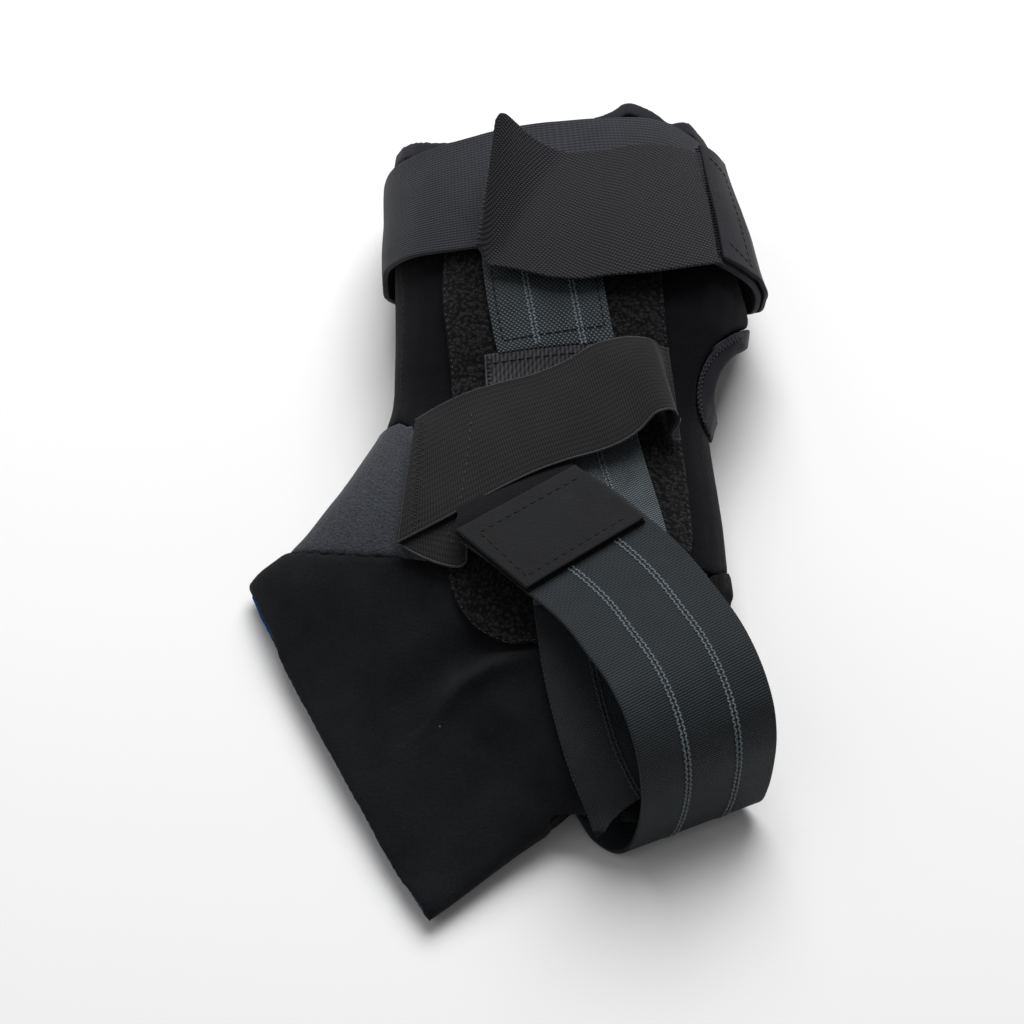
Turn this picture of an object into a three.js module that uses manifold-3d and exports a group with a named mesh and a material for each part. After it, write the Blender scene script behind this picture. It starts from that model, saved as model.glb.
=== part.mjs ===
// An ankle support, lying on its far side with its near side up.
// Millimetres. X runs from the instep to the heel, Y from the sole up the leg, Z up from the surface.
// The origin is at the bottom centre of the whole object's box.
import * as THREE from 'three';
import { mergeVertices } from 'three/addons/utils/BufferGeometryUtils.js';
import Module from 'manifold-3d';

const wasm = await Module();
wasm.setup();

// Overall sizes
const BRACE_WIDTH = 164; // the toe end to the back of the heel strap, across the leg
const BRACE_LENGTH = 255; // the sole's corner to the leg opening, along the leg
const LEG_HEIGHT = 56; // the lying leg tube, floor to top

// Walls and layers
const SLEEVE_WALL = 3.5;
const LINING_THICKNESS = 0.8;
const PILE_THICKNESS = 1.8;
const WEBBING_THICKNESS = 1.6;
const ELASTIC_THICKNESS = 1.3;
const BAND_THICKNESS = 2.2;
const FLAP_THICKNESS = 1.8;
const TAB_THICKNESS = 3;
const BINDING_THICKNESS = 0.8; // proud of the sleeve on each face

// Widths and lengths of straps and tapes
const WEBBING_WIDTH = 44;
const UPPER_WEBBING_WIDTH = 37;
const TAPE_WIDTH = 40;
const ELASTIC_WIDTH = 29;
const FLAP_WIDTH = 44;
const TAB_WIDTH = 42;
const BINDING_WIDTH = 6;
const BAND_WIDTH = 40;
const LINING_DEPTH = 24; // how far the lining is built into the toe opening

// Clearances
const LAYER_GAP = 0.5; // between cloth layers that lie on each other
const SLEEVE_GAP = 0.8; // between the sleeve and the panel on it
const SEAM_GAP = 0.3; // between pieces that are sewn edge to edge

// The tube's cross-section: a domed upper side and a flatter lower side
const SIDE_HEIGHT = 0.45; // the widest line, as a share of the section's height
const DOME_POWER = 2.35;
const FLAT_POWER = 4;
const FLATTENING = 1.03; // the lower side would reach this far below the surface that flattens it
const FAR = 400; // past everything, for cutting outlines

// Cells of the meshes: round and along the sleeve, along the band, across and along the straps
const RING_POINTS = 32;
const SLEEVE_STEPS = 26;
const BAND_STEPS = 5;
const LAID_COLUMNS = 6;
const FREE_COLUMNS = 2;
const LOOP_STEPS = 34;
const PILE_STEPS = 18;
const PILE_COLUMNS = 9;
const NOTCH_SIDES = 40;

// The lifts of the layers on the near side, each on the one below it
const PILE_LIFT = SLEEVE_GAP;
const WEBBING_LIFT = PILE_LIFT + PILE_THICKNESS + LAYER_GAP;
const ELASTIC_LIFT = WEBBING_LIFT + WEBBING_THICKNESS + LAYER_GAP;
const BAND_LIFT = ELASTIC_LIFT + LAYER_GAP;
const BAND_SIDE = BINDING_THICKNESS + LAYER_GAP;
const FLAP_LIFT = BAND_LIFT + BAND_THICKNESS + LAYER_GAP;
const FLAP_SIDE = BAND_SIDE + BAND_THICKNESS + LAYER_GAP;
const BAND_BED = BAND_SIDE + BAND_THICKNESS; // the band lies between the leg and the floor

// Sections of the sleeve, from the leg opening round the ankle to the toe.
// The front and back of each are shares of the brace's width and length, the height a share of the
// leg's height, and the bed a share of the band's thickness under the leg.
// front x, front y, back x, back y, height, bed
const SECTIONS = [
  [-0.226, 0.514, 0.387, 0.514, 0.893, 1],
  [-0.232, 0.463, 0.399, 0.467, 0.964, 1],
  [-0.232, 0.384, 0.421, 0.384, 1.0, 1],
  [-0.229, 0.31, 0.44, 0.306, 1.0, 1],
  [-0.226, 0.243, 0.46, 0.231, 0.964, 1],
  [-0.227, 0.18, 0.408, 0.157, 0.911, 0.4],
  [-0.23, 0.141, 0.379, 0.106, 0.857, 0],
  [-0.247, 0.106, 0.387, 0.051, 0.821, 0],
  [-0.28, 0.071, 0.4, -0.016, 0.804, 0],
  [-0.32, 0.031, 0.409, -0.098, 0.786, 0],
  [-0.357, 0.002, 0.427, -0.188, 0.75, 0],
  [-0.39, -0.022, 0.415, -0.282, 0.679, 0],
  [-0.424, -0.039, 0.341, -0.353, 0.589, 0],
  [-0.454, -0.05, 0.22, -0.384, 0.5, 0],
  [-0.479, -0.059, 0.104, -0.376, 0.411, 0],
  [-0.493, -0.064, -0.012, -0.424, 0.3, 0],
  [-0.5, -0.067, -0.146, -0.486, 0.23, 0],
];
const LAST_SECTION = SECTIONS.length - 1;
const BAND_TOP = [0.1, 0.461]; // a point on the calf band's upper edge, as shares

// Outlines in plan: x as a share of the width, y as a share of the length
const TOP_EDGE = [
  [-0.366, 0.486], [-0.22, 0.486], [-0.122, 0.459], [0.03, 0.463],
  [0.134, 0.478], [0.22, 0.506], [0.293, 0.49], [0.354, 0.494], [0.549, 0.506],
];
const FOOT_SEAM = [
  [-0.61, -0.008], [-0.402, -0.047], [-0.299, -0.065], [-0.207, -0.076],
  [-0.122, -0.088], [0.122, -0.094], [0.549, -0.094],
];
const GUSSET_EDGE = [
  [-0.4, 0.118], [-0.229, 0.104], [-0.201, 0.098], [-0.18, 0.082],
  [-0.165, 0.039], [-0.152, -0.024], [-0.146, -0.125],
];
const HEEL_TOP = -0.094; // the upper end of the heel opening
const NEAR_HEEL_EDGE = [
  [0.232, -0.439], [0.232, -0.384], [0.28, -0.349], [0.317, -0.298],
  [0.329, -0.235], [0.341, -0.176], [0.372, -0.129], [0.439, HEEL_TOP],
];
const FAR_HEEL_EDGE = [
  [0.104, -0.439], [0.116, -0.369], [0.165, -0.333], [0.226, -0.298],
  [0.28, -0.251], [0.317, -0.196], [0.354, -0.141], [0.439, HEEL_TOP],
];
const HEEL_SPLIT = 0.25; // the two heel edges meet at this share of the leg's height
const NOTCH_CENTRE = [0.488, 0.13]; // on the near side
const NOTCH_RADIUS = 16.5;
const NOTCH_HEIGHT = 0.7; // of the centre, as a share of the leg's height
const NOTCH_TILT = 25; // degrees, so that the far side is cut further up the leg

// The pile panel's left and right edges: left x, left y, right x, right y
const PILE_ROWS = [
  [-0.116, 0.43, 0.268, 0.43],
  [-0.131, 0.255, 0.283, 0.247],
  [-0.122, 0.184, 0.293, 0.176],
  [-0.113, 0.118, 0.317, 0.063],
  [-0.115, 0.008, 0.329, -0.014],
  [-0.121, -0.067, 0.332, -0.071],
  [-0.111, -0.125, 0.305, -0.125],
  [-0.07, -0.168, 0.244, -0.169],
  [-0.006, -0.192, 0.134, -0.192],
];

// Straps that lie on the sleeve. Centre x, centre y, the direction across the strap in degrees,
// and how far its left and right edges lift off, as shares of the leg's height
const UPPER_WEBBING = [
  [0.037, 0.408, 7, 0, 0],
  [0.054, 0.267, 8, 0, 0],
  [0.073, 0.188, 10, 0, 0],
  [0.085, 0.155, 11, 0, 0],
];
const TAPE = [
  [0.066, 0.147, 11, 0, 0],
  [0.072, 0.118, 11, 0, 0],
  [0.082, 0.09, 12, 0, 0],
];
const SIDE_WEBBING = [
  [0.09, 0.084, 12, 0, 0],
  [0.108, 0.026, 14, 0, 0],
  [0.149, -0.067, 13, 0, 0],
  [0.168, -0.125, 8, 0, 0],
  [0.188, -0.214, 11, 0, 0],
  [0.221, -0.293, 21, 0, 0],
  [0.25, -0.333, 26, 0, 0],
];
const ELASTIC_STRAP = [
  [0.304, 0.111, -82, 0, 0],
  [0.271, 0.123, -76, 0.02, 0.11],
  [0.226, 0.124, -68, 0.03, 0.15],
  [0.168, 0.102, -68, 0.01, 0.13],
  [0.073, 0.075, -70, 0, 0.07],
  [-0.024, 0.054, -76, 0, 0.03],
  [-0.104, 0.033, -81, 0, 0],
  [-0.194, 0.007, -88, -0.02, -0.03],
];
const ELASTIC_UNDER_LAYER = [
  [-0.198, -0.02, -92, -0.03, -0.03],
  [-0.15, -0.025, -92, -0.01, -0.01],
  [-0.095, -0.03, -92, 0, 0],
];
const CALF_FLAP = [
  [-0.038, 0.36, -101, 0.26, 0.02],
  [0.022, 0.339, -102, 0.05, 0],
  [0.09, 0.323, -97, 0, 0],
  [0.173, 0.325, -91, 0, 0],
  [0.247, 0.334, -86, 0, 0],
  [0.32, 0.346, -84, 0, 0],
  [0.37, 0.353, -82, 0, 0],
];
const HOOK_OUTLINE = [
  [0.36, 0.436], [0.389, 0.318], [0.4, 0.291], [0.56, 0.305], [0.56, 0.474],
];
const HOOK_BEYOND_BAND = 0.4; // how far the hook tab passes the band's edges, in sections
const HOOK_LOWEST = 0.25; // how far down the back the hook tab reaches, as a share of the height

// The free loop of the heel strap, from its end under the tab, over the heel, round the fold on the
// floor and in between the sleeve's walls.
// Centre x, y and z as shares of the width, length and height, the direction across, and its rise
const LOOP = [
  [0.02, -0.04, 0.905, 32, 0],
  [0.078, -0.068, 0.905, 33, 0],
  [0.132, -0.1, 0.912, 33, 0],
  [0.176, -0.128, 0.93, 32, -1],
  [0.215, -0.158, 0.95, 30, -2],
  [0.25, -0.192, 0.968, 29, -2],
  [0.284, -0.226, 0.975, 29, -2],
  [0.311, -0.26, 0.96, 29, -1],
  [0.332, -0.293, 0.905, 28, 1],
  [0.345, -0.322, 0.81, 26, 3],
  [0.352, -0.343, 0.64, 25, 4],
  [0.351, -0.357, 0.42, 24, 4],
  [0.344, -0.367, 0.22, 22, 3],
  [0.331, -0.372, 0.1, 21, 1],
  [0.309, -0.362, 0.045, 23, 0],
  [0.275, -0.339, 0.06, 29, 0],
  [0.24, -0.313, 0.125, 34, -1],
  [0.204, -0.286, 0.15, 37, 0],
  [0.165, -0.25, 0.14, 39, 0],
  [0.125, -0.213, 0.118, 41, 0],
];
// The hook tab's centre x, centre y and direction across, on the loop's end
const TAB = [
  [0.006, -0.035, 31],
  [0.049, -0.058, 32],
  [0.093, -0.082, 33],
  [0.129, -0.1, 33],
];

const radians = THREE.MathUtils.degToRad;
const planX = (share) => share * BRACE_WIDTH;
const planY = (share) => share * BRACE_LENGTH;
const planPoint = ([x, y]) => [planX(x), planY(y)];

// A value between a table's rows, on a smooth curve through them
function between(rows, column, place) {
  const last = rows.length - 1;
  const at = Math.min(Math.max(place, 0), last - 1e-9);
  const row = Math.floor(at);
  const t = at - row;
  const value = (k) => rows[Math.min(Math.max(k, 0), last)][column];
  const b = value(row);
  const c = value(row + 1);
  const a = row === 0 ? 2 * b - c : value(row - 1);
  const d = row + 2 > last ? 2 * c - b : value(row + 2);
  const linear = c - a;
  const square = 2 * a - 5 * b + 4 * c - d;
  const cube = 3 * b - a - 3 * c + d;
  return 0.5 * (2 * b + linear * t + square * t * t + cube * t * t * t);
}

function section(place) {
  const front = [planX(between(SECTIONS, 0, place)), planY(between(SECTIONS, 1, place))];
  const back = [planX(between(SECTIONS, 2, place)), planY(between(SECTIONS, 3, place))];
  const half = Math.hypot(back[0] - front[0], back[1] - front[1]) / 2;
  return {
    front,
    middle: [(front[0] + back[0]) / 2, (front[1] + back[1]) / 2],
    across: [(back[0] - front[0]) / (2 * half), (back[1] - front[1]) / (2 * half)],
    half,
    height: LEG_HEIGHT * between(SECTIONS, 4, place),
    bed: BAND_BED * Math.min(Math.max(between(SECTIONS, 5, place), 0), 1),
  };
}

// A point of the sleeve's surface, moved out by grow.side, grow.top and grow.bottom
function sleevePoint(place, angle, grow) {
  const s = section(place);
  const cosine = Math.cos(angle);
  const sine = Math.sin(angle);
  const power = sine >= 0 ? DOME_POWER : FLAT_POWER;
  const along = Math.sign(cosine) * Math.abs(cosine) ** (2 / power) * (s.half + grow.side);
  const roundRise = Math.abs(sine) ** (2 / power);
  const rise = sine >= 0 ? roundRise : Math.min(roundRise * FLATTENING, 1);
  const dome = s.height * (1 - SIDE_HEIGHT) + grow.top;
  const bowl = s.height * SIDE_HEIGHT + grow.bottom;
  const z = s.bed + s.height * SIDE_HEIGHT + (sine >= 0 ? dome : -bowl) * rise;
  return [s.middle[0] + along * s.across[0], s.middle[1] + along * s.across[1], z];
}

// The section number whose line from front to back passes through a plan point
function sectionAt(x, y) {
  const side = (place) => {
    const s = section(place);
    return s.across[0] * (y - s.front[1]) - s.across[1] * (x - s.front[0]);
  };
  const step = 0.25;
  for (let place = 0; place < LAST_SECTION; place += step) {
    if (side(place) <= 0 && side(place + step) > 0) {
      let low = place;
      let high = place + step;
      for (let k = 0; k < 30; k++) {
        const mid = (low + high) / 2;
        if (side(mid) <= 0) low = mid;
        else high = mid;
      }
      return low;
    }
  }
  return side(0) > 0 ? 0 : LAST_SECTION;
}

// The height of the near side over a plan point, grown by a lift on top and an amount at the sides
function nearHeight(x, y, lift, side = lift) {
  const s = section(sectionAt(x, y));
  const along = (x - s.middle[0]) * s.across[0] + (y - s.middle[1]) * s.across[1];
  const share = Math.min(Math.abs(along) / (s.half + side), 1);
  const rise = (1 - share ** DOME_POWER) ** (1 / DOME_POWER);
  return s.bed + s.height * SIDE_HEIGHT + (s.height * (1 - SIDE_HEIGHT) + lift) * rise;
}

function geometryOf(positions, index) {
  const geometry = new THREE.BufferGeometry();
  geometry.setAttribute('position', new THREE.Float32BufferAttribute(positions, 3));
  geometry.setIndex(index);
  return geometry;
}

function solidOf(geometry) {
  const bare = geometry.clone();
  bare.deleteAttribute('normal');
  bare.deleteAttribute('uv');
  const merged = mergeVertices(bare, 1e-4);
  return new wasm.Manifold(new wasm.Mesh({
    numProp: 3,
    vertProperties: Float32Array.from(merged.attributes.position.array),
    triVerts: Uint32Array.from(merged.index.array),
  }));
}

function geometryFrom(solid) {
  const mesh = solid.getMesh();
  const positions = [];
  for (let k = 0; k < mesh.vertProperties.length; k += mesh.numProp) {
    positions.push(mesh.vertProperties[k], mesh.vertProperties[k + 1], mesh.vertProperties[k + 2]);
  }
  return geometryOf(positions, Array.from(mesh.triVerts));
}

// A tube between two grown surfaces of the sleeve, from one section number to another
function shell(from, to, steps, outer, inner) {
  const positions = [];
  const index = [];
  for (let i = 0; i <= steps; i++) {
    const place = from + ((to - from) * i) / steps;
    for (const grow of [outer, inner]) {
      for (let j = 0; j < RING_POINTS; j++) {
        positions.push(...sleevePoint(place, (j / RING_POINTS) * Math.PI * 2, grow));
      }
    }
  }
  const at = (i, layer, j) => (i * 2 + layer) * RING_POINTS + (j % RING_POINTS);
  const quad = (a, b, c, d) => index.push(a, b, c, a, c, d);
  for (let j = 0; j < RING_POINTS; j++) {
    for (let i = 0; i < steps; i++) {
      quad(at(i, 0, j), at(i, 0, j + 1), at(i + 1, 0, j + 1), at(i + 1, 0, j));
      quad(at(i, 1, j), at(i + 1, 1, j), at(i + 1, 1, j + 1), at(i, 1, j + 1));
    }
    quad(at(0, 0, j), at(0, 1, j), at(0, 1, j + 1), at(0, 0, j + 1));
    quad(at(steps, 0, j), at(steps, 0, j + 1), at(steps, 1, j + 1), at(steps, 1, j));
  }
  return solidOf(facingOut(geometryOf(positions, index)));
}

// Turns a closed mesh's faces round if its volume comes out negative
function facingOut(geometry) {
  const p = geometry.attributes.position;
  const index = Array.from(geometry.index.array);
  const point = (k) => new THREE.Vector3().fromBufferAttribute(p, k);
  let volume = 0;
  for (let k = 0; k < index.length; k += 3) {
    volume += point(index[k]).dot(point(index[k + 1]).cross(point(index[k + 2])));
  }
  if (volume < 0) {
    for (let k = 0; k < index.length; k += 3) {
      [index[k + 1], index[k + 2]] = [index[k + 2], index[k + 1]];
    }
    geometry.setIndex(index);
  }
  return geometry;
}

// A strip of cloth between two faces. point(i, j, face) gives a corner on face 0 or 1
function strip(rows, columns, point) {
  const positions = [];
  const index = [];
  for (let i = 0; i <= rows; i++) {
    for (let j = 0; j <= columns; j++) {
      positions.push(...point(i / rows, j / columns, 0), ...point(i / rows, j / columns, 1));
    }
  }
  const at = (i, j, face) => (i * (columns + 1) + j) * 2 + face;
  const quad = (a, b, c, d) => index.push(a, b, c, a, c, d);
  for (let i = 0; i < rows; i++) {
    for (let j = 0; j < columns; j++) {
      quad(at(i, j, 0), at(i + 1, j, 0), at(i + 1, j + 1, 0), at(i, j + 1, 0));
      quad(at(i, j, 1), at(i, j + 1, 1), at(i + 1, j + 1, 1), at(i + 1, j, 1));
    }
    quad(at(i, 0, 0), at(i, 0, 1), at(i + 1, 0, 1), at(i + 1, 0, 0));
    quad(at(i, columns, 0), at(i + 1, columns, 0), at(i + 1, columns, 1), at(i, columns, 1));
  }
  for (let j = 0; j < columns; j++) {
    quad(at(0, j, 0), at(0, j + 1, 0), at(0, j + 1, 1), at(0, j, 1));
    quad(at(rows, j, 0), at(rows, j, 1), at(rows, j + 1, 1), at(rows, j + 1, 0));
  }
  return facingOut(geometryOf(positions, index));
}

// A strap of one width that follows the near side at a lift
function layStrap(table, width, lift, thickness, steps, side = lift) {
  return strip(steps, LAID_COLUMNS, (u, v, face) => {
    const place = u * (table.length - 1);
    const turn = radians(between(table, 2, place));
    const off = (v - 0.5) * width;
    const x = planX(between(table, 0, place)) + off * Math.cos(turn);
    const y = planY(between(table, 1, place)) + off * Math.sin(turn);
    const raise = between(table, 3, place) * (1 - v) + between(table, 4, place) * v;
    const depth = face * thickness;
    return [x, y, nearHeight(x, y, lift + depth, side + depth) + raise * LEG_HEIGHT];
  });
}

// A strap of one width along its own stations in space
function freeStrap(table, width, thickness, steps, lift = 0) {
  const last = table.length - 1;
  const centre = (place) => new THREE.Vector3(
    planX(between(table, 0, place)),
    planY(between(table, 1, place)),
    LEG_HEIGHT * between(table, 2, place),
  );
  return strip(steps, FREE_COLUMNS, (u, v, face) => {
    const place = u * last;
    const turn = radians(between(table, 3, place));
    const rise = radians(between(table, 4, place));
    const across = new THREE.Vector3(
      Math.cos(turn) * Math.cos(rise),
      Math.sin(turn) * Math.cos(rise),
      Math.sin(rise),
    );
    const ahead = centre(Math.min(place + 0.1, last)).sub(centre(Math.max(place - 0.1, 0)));
    const out = new THREE.Vector3().crossVectors(across, ahead).normalize();
    const depth = (face - 0.5) * thickness - lift;
    return centre(place).addScaledVector(across, (v - 0.5) * width).addScaledVector(out, depth)
      .toArray();
  });
}

// A slab under or over an outline in plan
function slab(points, low, high) {
  const shape = new THREE.Shape(points.map(([x, y]) => new THREE.Vector2(x, y)));
  const geometry = new THREE.ExtrudeGeometry(shape, { depth: high - low, bevelEnabled: false });
  geometry.translate(0, 0, low);
  return solidOf(geometry);
}

// A smooth line through outline points, in plan millimetres, moved to its left by shift
function smoothLine(table, shift = 0) {
  const curve = new THREE.SplineCurve(table.map(planPoint).map(([x, y]) => new THREE.Vector2(x, y)));
  const steps = (table.length - 1) * 3;
  const line = [];
  for (let k = 0; k <= steps; k++) {
    const p = curve.getPoint(k / steps);
    const t = curve.getTangent(k / steps);
    line.push([p.x - t.y * shift, p.y + t.x * shift]);
  }
  return line;
}

const plain = (amount) => ({ side: amount, top: amount, bottom: amount });

// The regions of the plan that the outlines bound
function aboveTop(shift) {
  const line = smoothLine(TOP_EDGE, shift);
  return slab([...line, [FAR, FAR], [-FAR, FAR]], -FAR, FAR);
}

function belowSeam(shift) {
  const line = smoothLine(FOOT_SEAM, shift);
  return slab([[-FAR, -FAR], [FAR, -FAR], ...line.reverse()], -FAR, FAR);
}

function gussetSide(shift) {
  const line = smoothLine(GUSSET_EDGE, shift);
  return slab([...line, [-FAR, -FAR], [-FAR, line[0][1]]], -FAR, FAR);
}

function heelSide(grow) {
  const split = HEEL_SPLIT * LEG_HEIGHT;
  const outside = [[FAR, planY(HEEL_TOP)], [FAR, -FAR]];
  const near = [...smoothLine(NEAR_HEEL_EDGE, grow), ...outside];
  const far = [...smoothLine(FAR_HEEL_EDGE, grow), ...outside];
  near.push([near[0][0], -FAR]);
  far.push([far[0][0], -FAR]);
  return slab(near, split, FAR).add(slab(far, -FAR, split));
}

function notchSide(grow) {
  const radius = NOTCH_RADIUS + grow;
  const geometry = new THREE.CylinderGeometry(radius, radius, FAR, NOTCH_SIDES);
  geometry.rotateX(Math.PI / 2 + radians(NOTCH_TILT));
  geometry.translate(...planPoint(NOTCH_CENTRE), LEG_HEIGHT * NOTCH_HEIGHT);
  return solidOf(geometry);
}

// The section numbers of the calf band's edges
const bandTop = sectionAt(...planPoint(BAND_TOP));
const bandFoot = sectionAt(planX(BAND_TOP[0]), planY(BAND_TOP[1]) - BAND_WIDTH);

// The sleeve's wall with its openings cut back to leave room for the bindings
const wall = shell(0, LAST_SECTION, SLEEVE_STEPS, plain(0), plain(-SLEEVE_WALL));
const boundOutside = { side: BINDING_THICKNESS, top: BINDING_THICKNESS, bottom: 0 };
const boundWall = shell(0, LAST_SECTION, SLEEVE_STEPS,
  boundOutside, plain(-SLEEVE_WALL - BINDING_THICKNESS));
const sleeve = wall
  .subtract(aboveTop(-BINDING_WIDTH - SEAM_GAP))
  .subtract(heelSide(BINDING_WIDTH + SEAM_GAP))
  .subtract(notchSide(BINDING_WIDTH + SEAM_GAP));

function legSleeve() {
  return geometryFrom(sleeve.subtract(belowSeam(SEAM_GAP / 2)).subtract(gussetSide(SEAM_GAP / 2)));
}

function instepGusset() {
  return geometryFrom(sleeve.subtract(belowSeam(SEAM_GAP / 2)).intersect(gussetSide(-SEAM_GAP / 2)));
}

function footSleeve() {
  return geometryFrom(sleeve.intersect(belowSeam(-SEAM_GAP / 2)));
}

function topBinding() {
  return geometryFrom(boundWall.subtract(aboveTop(0)).intersect(aboveTop(-BINDING_WIDTH)));
}

function heelBinding() {
  return geometryFrom(boundWall.subtract(heelSide(0)).intersect(heelSide(BINDING_WIDTH)));
}

function notchBinding() {
  return geometryFrom(boundWall.subtract(notchSide(0)).intersect(notchSide(BINDING_WIDTH)));
}

function footLining() {
  const outside = -SLEEVE_WALL - SEAM_GAP;
  const toe = section(LAST_SECTION);
  const back = section(LAST_SECTION - 1);
  const step = Math.hypot(toe.middle[0] - back.middle[0], toe.middle[1] - back.middle[1]);
  const from = LAST_SECTION - LINING_DEPTH / step;
  return geometryFrom(shell(from, LAST_SECTION, 3, plain(outside), plain(outside - LINING_THICKNESS)));
}

function calfBand() {
  const inner = { side: BAND_SIDE, top: BAND_LIFT, bottom: BAND_SIDE };
  const outer = {
    side: BAND_SIDE + BAND_THICKNESS,
    top: BAND_LIFT + BAND_THICKNESS,
    bottom: BAND_SIDE + BAND_THICKNESS,
  };
  return geometryFrom(shell(bandTop, bandFoot, BAND_STEPS, outer, inner));
}

function pilePanel() {
  return strip(PILE_STEPS, PILE_COLUMNS, (u, v, face) => {
    const place = u * (PILE_ROWS.length - 1);
    const column = (k) => between(PILE_ROWS, k, place);
    const x = planX(column(0) * (1 - v) + column(2) * v);
    const y = planY(column(1) * (1 - v) + column(3) * v);
    return [x, y, nearHeight(x, y, PILE_LIFT + face * PILE_THICKNESS)];
  });
}

// The hook tab meets the flap's right end and wraps down the back of the band
function hookTab() {
  const inner = { side: FLAP_SIDE, top: FLAP_LIFT, bottom: FLAP_SIDE };
  const outer = {
    side: FLAP_SIDE + FLAP_THICKNESS,
    top: FLAP_LIFT + FLAP_THICKNESS,
    bottom: FLAP_SIDE + FLAP_THICKNESS,
  };
  const region = slab(HOOK_OUTLINE.map(planPoint), HOOK_LOWEST * LEG_HEIGHT, FAR);
  const from = bandTop - HOOK_BEYOND_BAND;
  const to = bandFoot + HOOK_BEYOND_BAND;
  return geometryFrom(shell(from, to, BAND_STEPS, outer, inner).intersect(region));
}

function piece(name, geometry, colour, roughness) {
  const material = new THREE.MeshStandardMaterial({ color: colour, roughness, metalness: 0 });
  const mesh = new THREE.Mesh(geometry, material);
  mesh.name = name;
  return mesh;
}

const loopOver = WEBBING_THICKNESS / 2 + LAYER_GAP + TAB_THICKNESS / 2;
const tabCentre = TAB.map(([x, y, turn]) => [x, y, LOOP[0][2], turn, 0]);

const group = new THREE.Group();
group.add(
  piece('leg_sleeve', legSleeve(), 0x15141a, 0.95),
  piece('instep_gusset', instepGusset(), 0x3c3f43, 0.95),
  piece('foot_sleeve', footSleeve(), 0x141417, 0.95),
  piece('foot_lining', footLining(), 0x0f5fa8, 0.8),
  piece('top_binding', topBinding(), 0x1b1b20, 0.8),
  piece('heel_binding', heelBinding(), 0x2a2d36, 0.8),
  piece('notch_binding', notchBinding(), 0x1e1e2a, 0.8),
  piece('side_pile_panel', pilePanel(), 0x1a1a1c, 1),
  piece('upper_webbing',
    layStrap(UPPER_WEBBING, UPPER_WEBBING_WIDTH, WEBBING_LIFT, WEBBING_THICKNESS, 6), 0x34393d, 0.7),
  piece('ribbed_tape',
    layStrap(TAPE, TAPE_WIDTH, WEBBING_LIFT, WEBBING_THICKNESS, 3), 0x2a2a2c, 0.8),
  piece('side_webbing',
    layStrap(SIDE_WEBBING, WEBBING_WIDTH, WEBBING_LIFT, WEBBING_THICKNESS, 14), 0x2f3336, 0.7),
  piece('elastic_strap',
    layStrap(ELASTIC_STRAP, ELASTIC_WIDTH, ELASTIC_LIFT, ELASTIC_THICKNESS, 16), 0x252525, 0.85),
  piece('elastic_under_layer',
    layStrap(ELASTIC_UNDER_LAYER, ELASTIC_WIDTH, WEBBING_LIFT, ELASTIC_THICKNESS, 4), 0x242424, 0.85),
  piece('calf_band', calfBand(), 0x3a3b40, 0.8),
  piece('band_flap',
    layStrap(CALF_FLAP, FLAP_WIDTH, FLAP_LIFT, FLAP_THICKNESS, 12, FLAP_SIDE), 0x26252a, 0.7),
  piece('band_hook_tab', hookTab(), 0x222226, 0.6),
  piece('heel_strap_loop', freeStrap(LOOP, WEBBING_WIDTH, WEBBING_THICKNESS, LOOP_STEPS), 0x34373a, 0.7),
  piece('loop_hook_tab', freeStrap(tabCentre, TAB_WIDTH, TAB_THICKNESS, 4, loopOver), 0x232426, 0.6),
);

// Moves the whole object so that its box stands with its bottom centre on the origin
const box = new THREE.Box3().setFromObject(group);
const centre = box.getCenter(new THREE.Vector3());
for (const mesh of group.children) {
  mesh.geometry.translate(-centre.x, -centre.y, -box.min.z);
}

export default group;
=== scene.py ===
import math

import bmesh
import bpy
import numpy as np
from bpy.props import FloatProperty, FloatVectorProperty, PointerProperty
from mathutils import Matrix, Vector, noise


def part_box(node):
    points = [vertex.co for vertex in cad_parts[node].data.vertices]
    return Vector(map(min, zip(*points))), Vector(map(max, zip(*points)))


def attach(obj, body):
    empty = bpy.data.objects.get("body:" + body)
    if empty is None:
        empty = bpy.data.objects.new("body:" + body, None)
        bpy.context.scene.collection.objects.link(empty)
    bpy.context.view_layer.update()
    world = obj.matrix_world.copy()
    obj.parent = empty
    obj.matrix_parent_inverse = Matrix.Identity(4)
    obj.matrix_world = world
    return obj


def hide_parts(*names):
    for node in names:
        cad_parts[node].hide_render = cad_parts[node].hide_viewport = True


bl_info = {
    "name": "Ankle support",
    "version": (1, 0, 0),
    "blender": (4, 5, 0),
    "location": "View3D > Sidebar > Ankle support",
    "description": "Dresses the ankle support's frame in cloth, webbing, tapes and stitches",
    "category": "Object",
}

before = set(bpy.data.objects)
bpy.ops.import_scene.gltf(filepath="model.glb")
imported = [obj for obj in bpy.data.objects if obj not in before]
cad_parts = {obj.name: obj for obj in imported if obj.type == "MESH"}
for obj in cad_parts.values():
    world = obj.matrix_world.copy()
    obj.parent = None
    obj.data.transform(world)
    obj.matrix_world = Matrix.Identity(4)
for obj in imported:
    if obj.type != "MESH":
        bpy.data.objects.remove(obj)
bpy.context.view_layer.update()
MM = 0.001
UP = Vector((0, 0, 1))


def linear(code):
    """A hex sRGB colour as linear red, green and blue."""
    parts = [int(code[k:k + 2], 16) / 255 for k in (1, 3, 5)]
    return tuple(c / 12.92 if c <= 0.04045 else ((c + 0.055) / 1.055) ** 2.4 for c in parts)


# Sizes of the frame, in millimetres
BRACE_WIDTH = 164
BRACE_LENGTH = 255
LEG_HEIGHT = 56
SLEEVE_WALL = 3.5
BAND_BED = 3.5

# A section: the share of its height at its sides, the powers of its upper and lower curves, and
# the steepening that makes its bottom flat
SIDE_HEIGHT = 0.45
DOME_POWER = 2.35
FLAT_POWER = 4
FLATTENING = 1.03

# The lining begins at these shares of the wall, above and below a section's sides
LINING_ABOVE = 0.8
LINING_BELOW = 0.6

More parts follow.
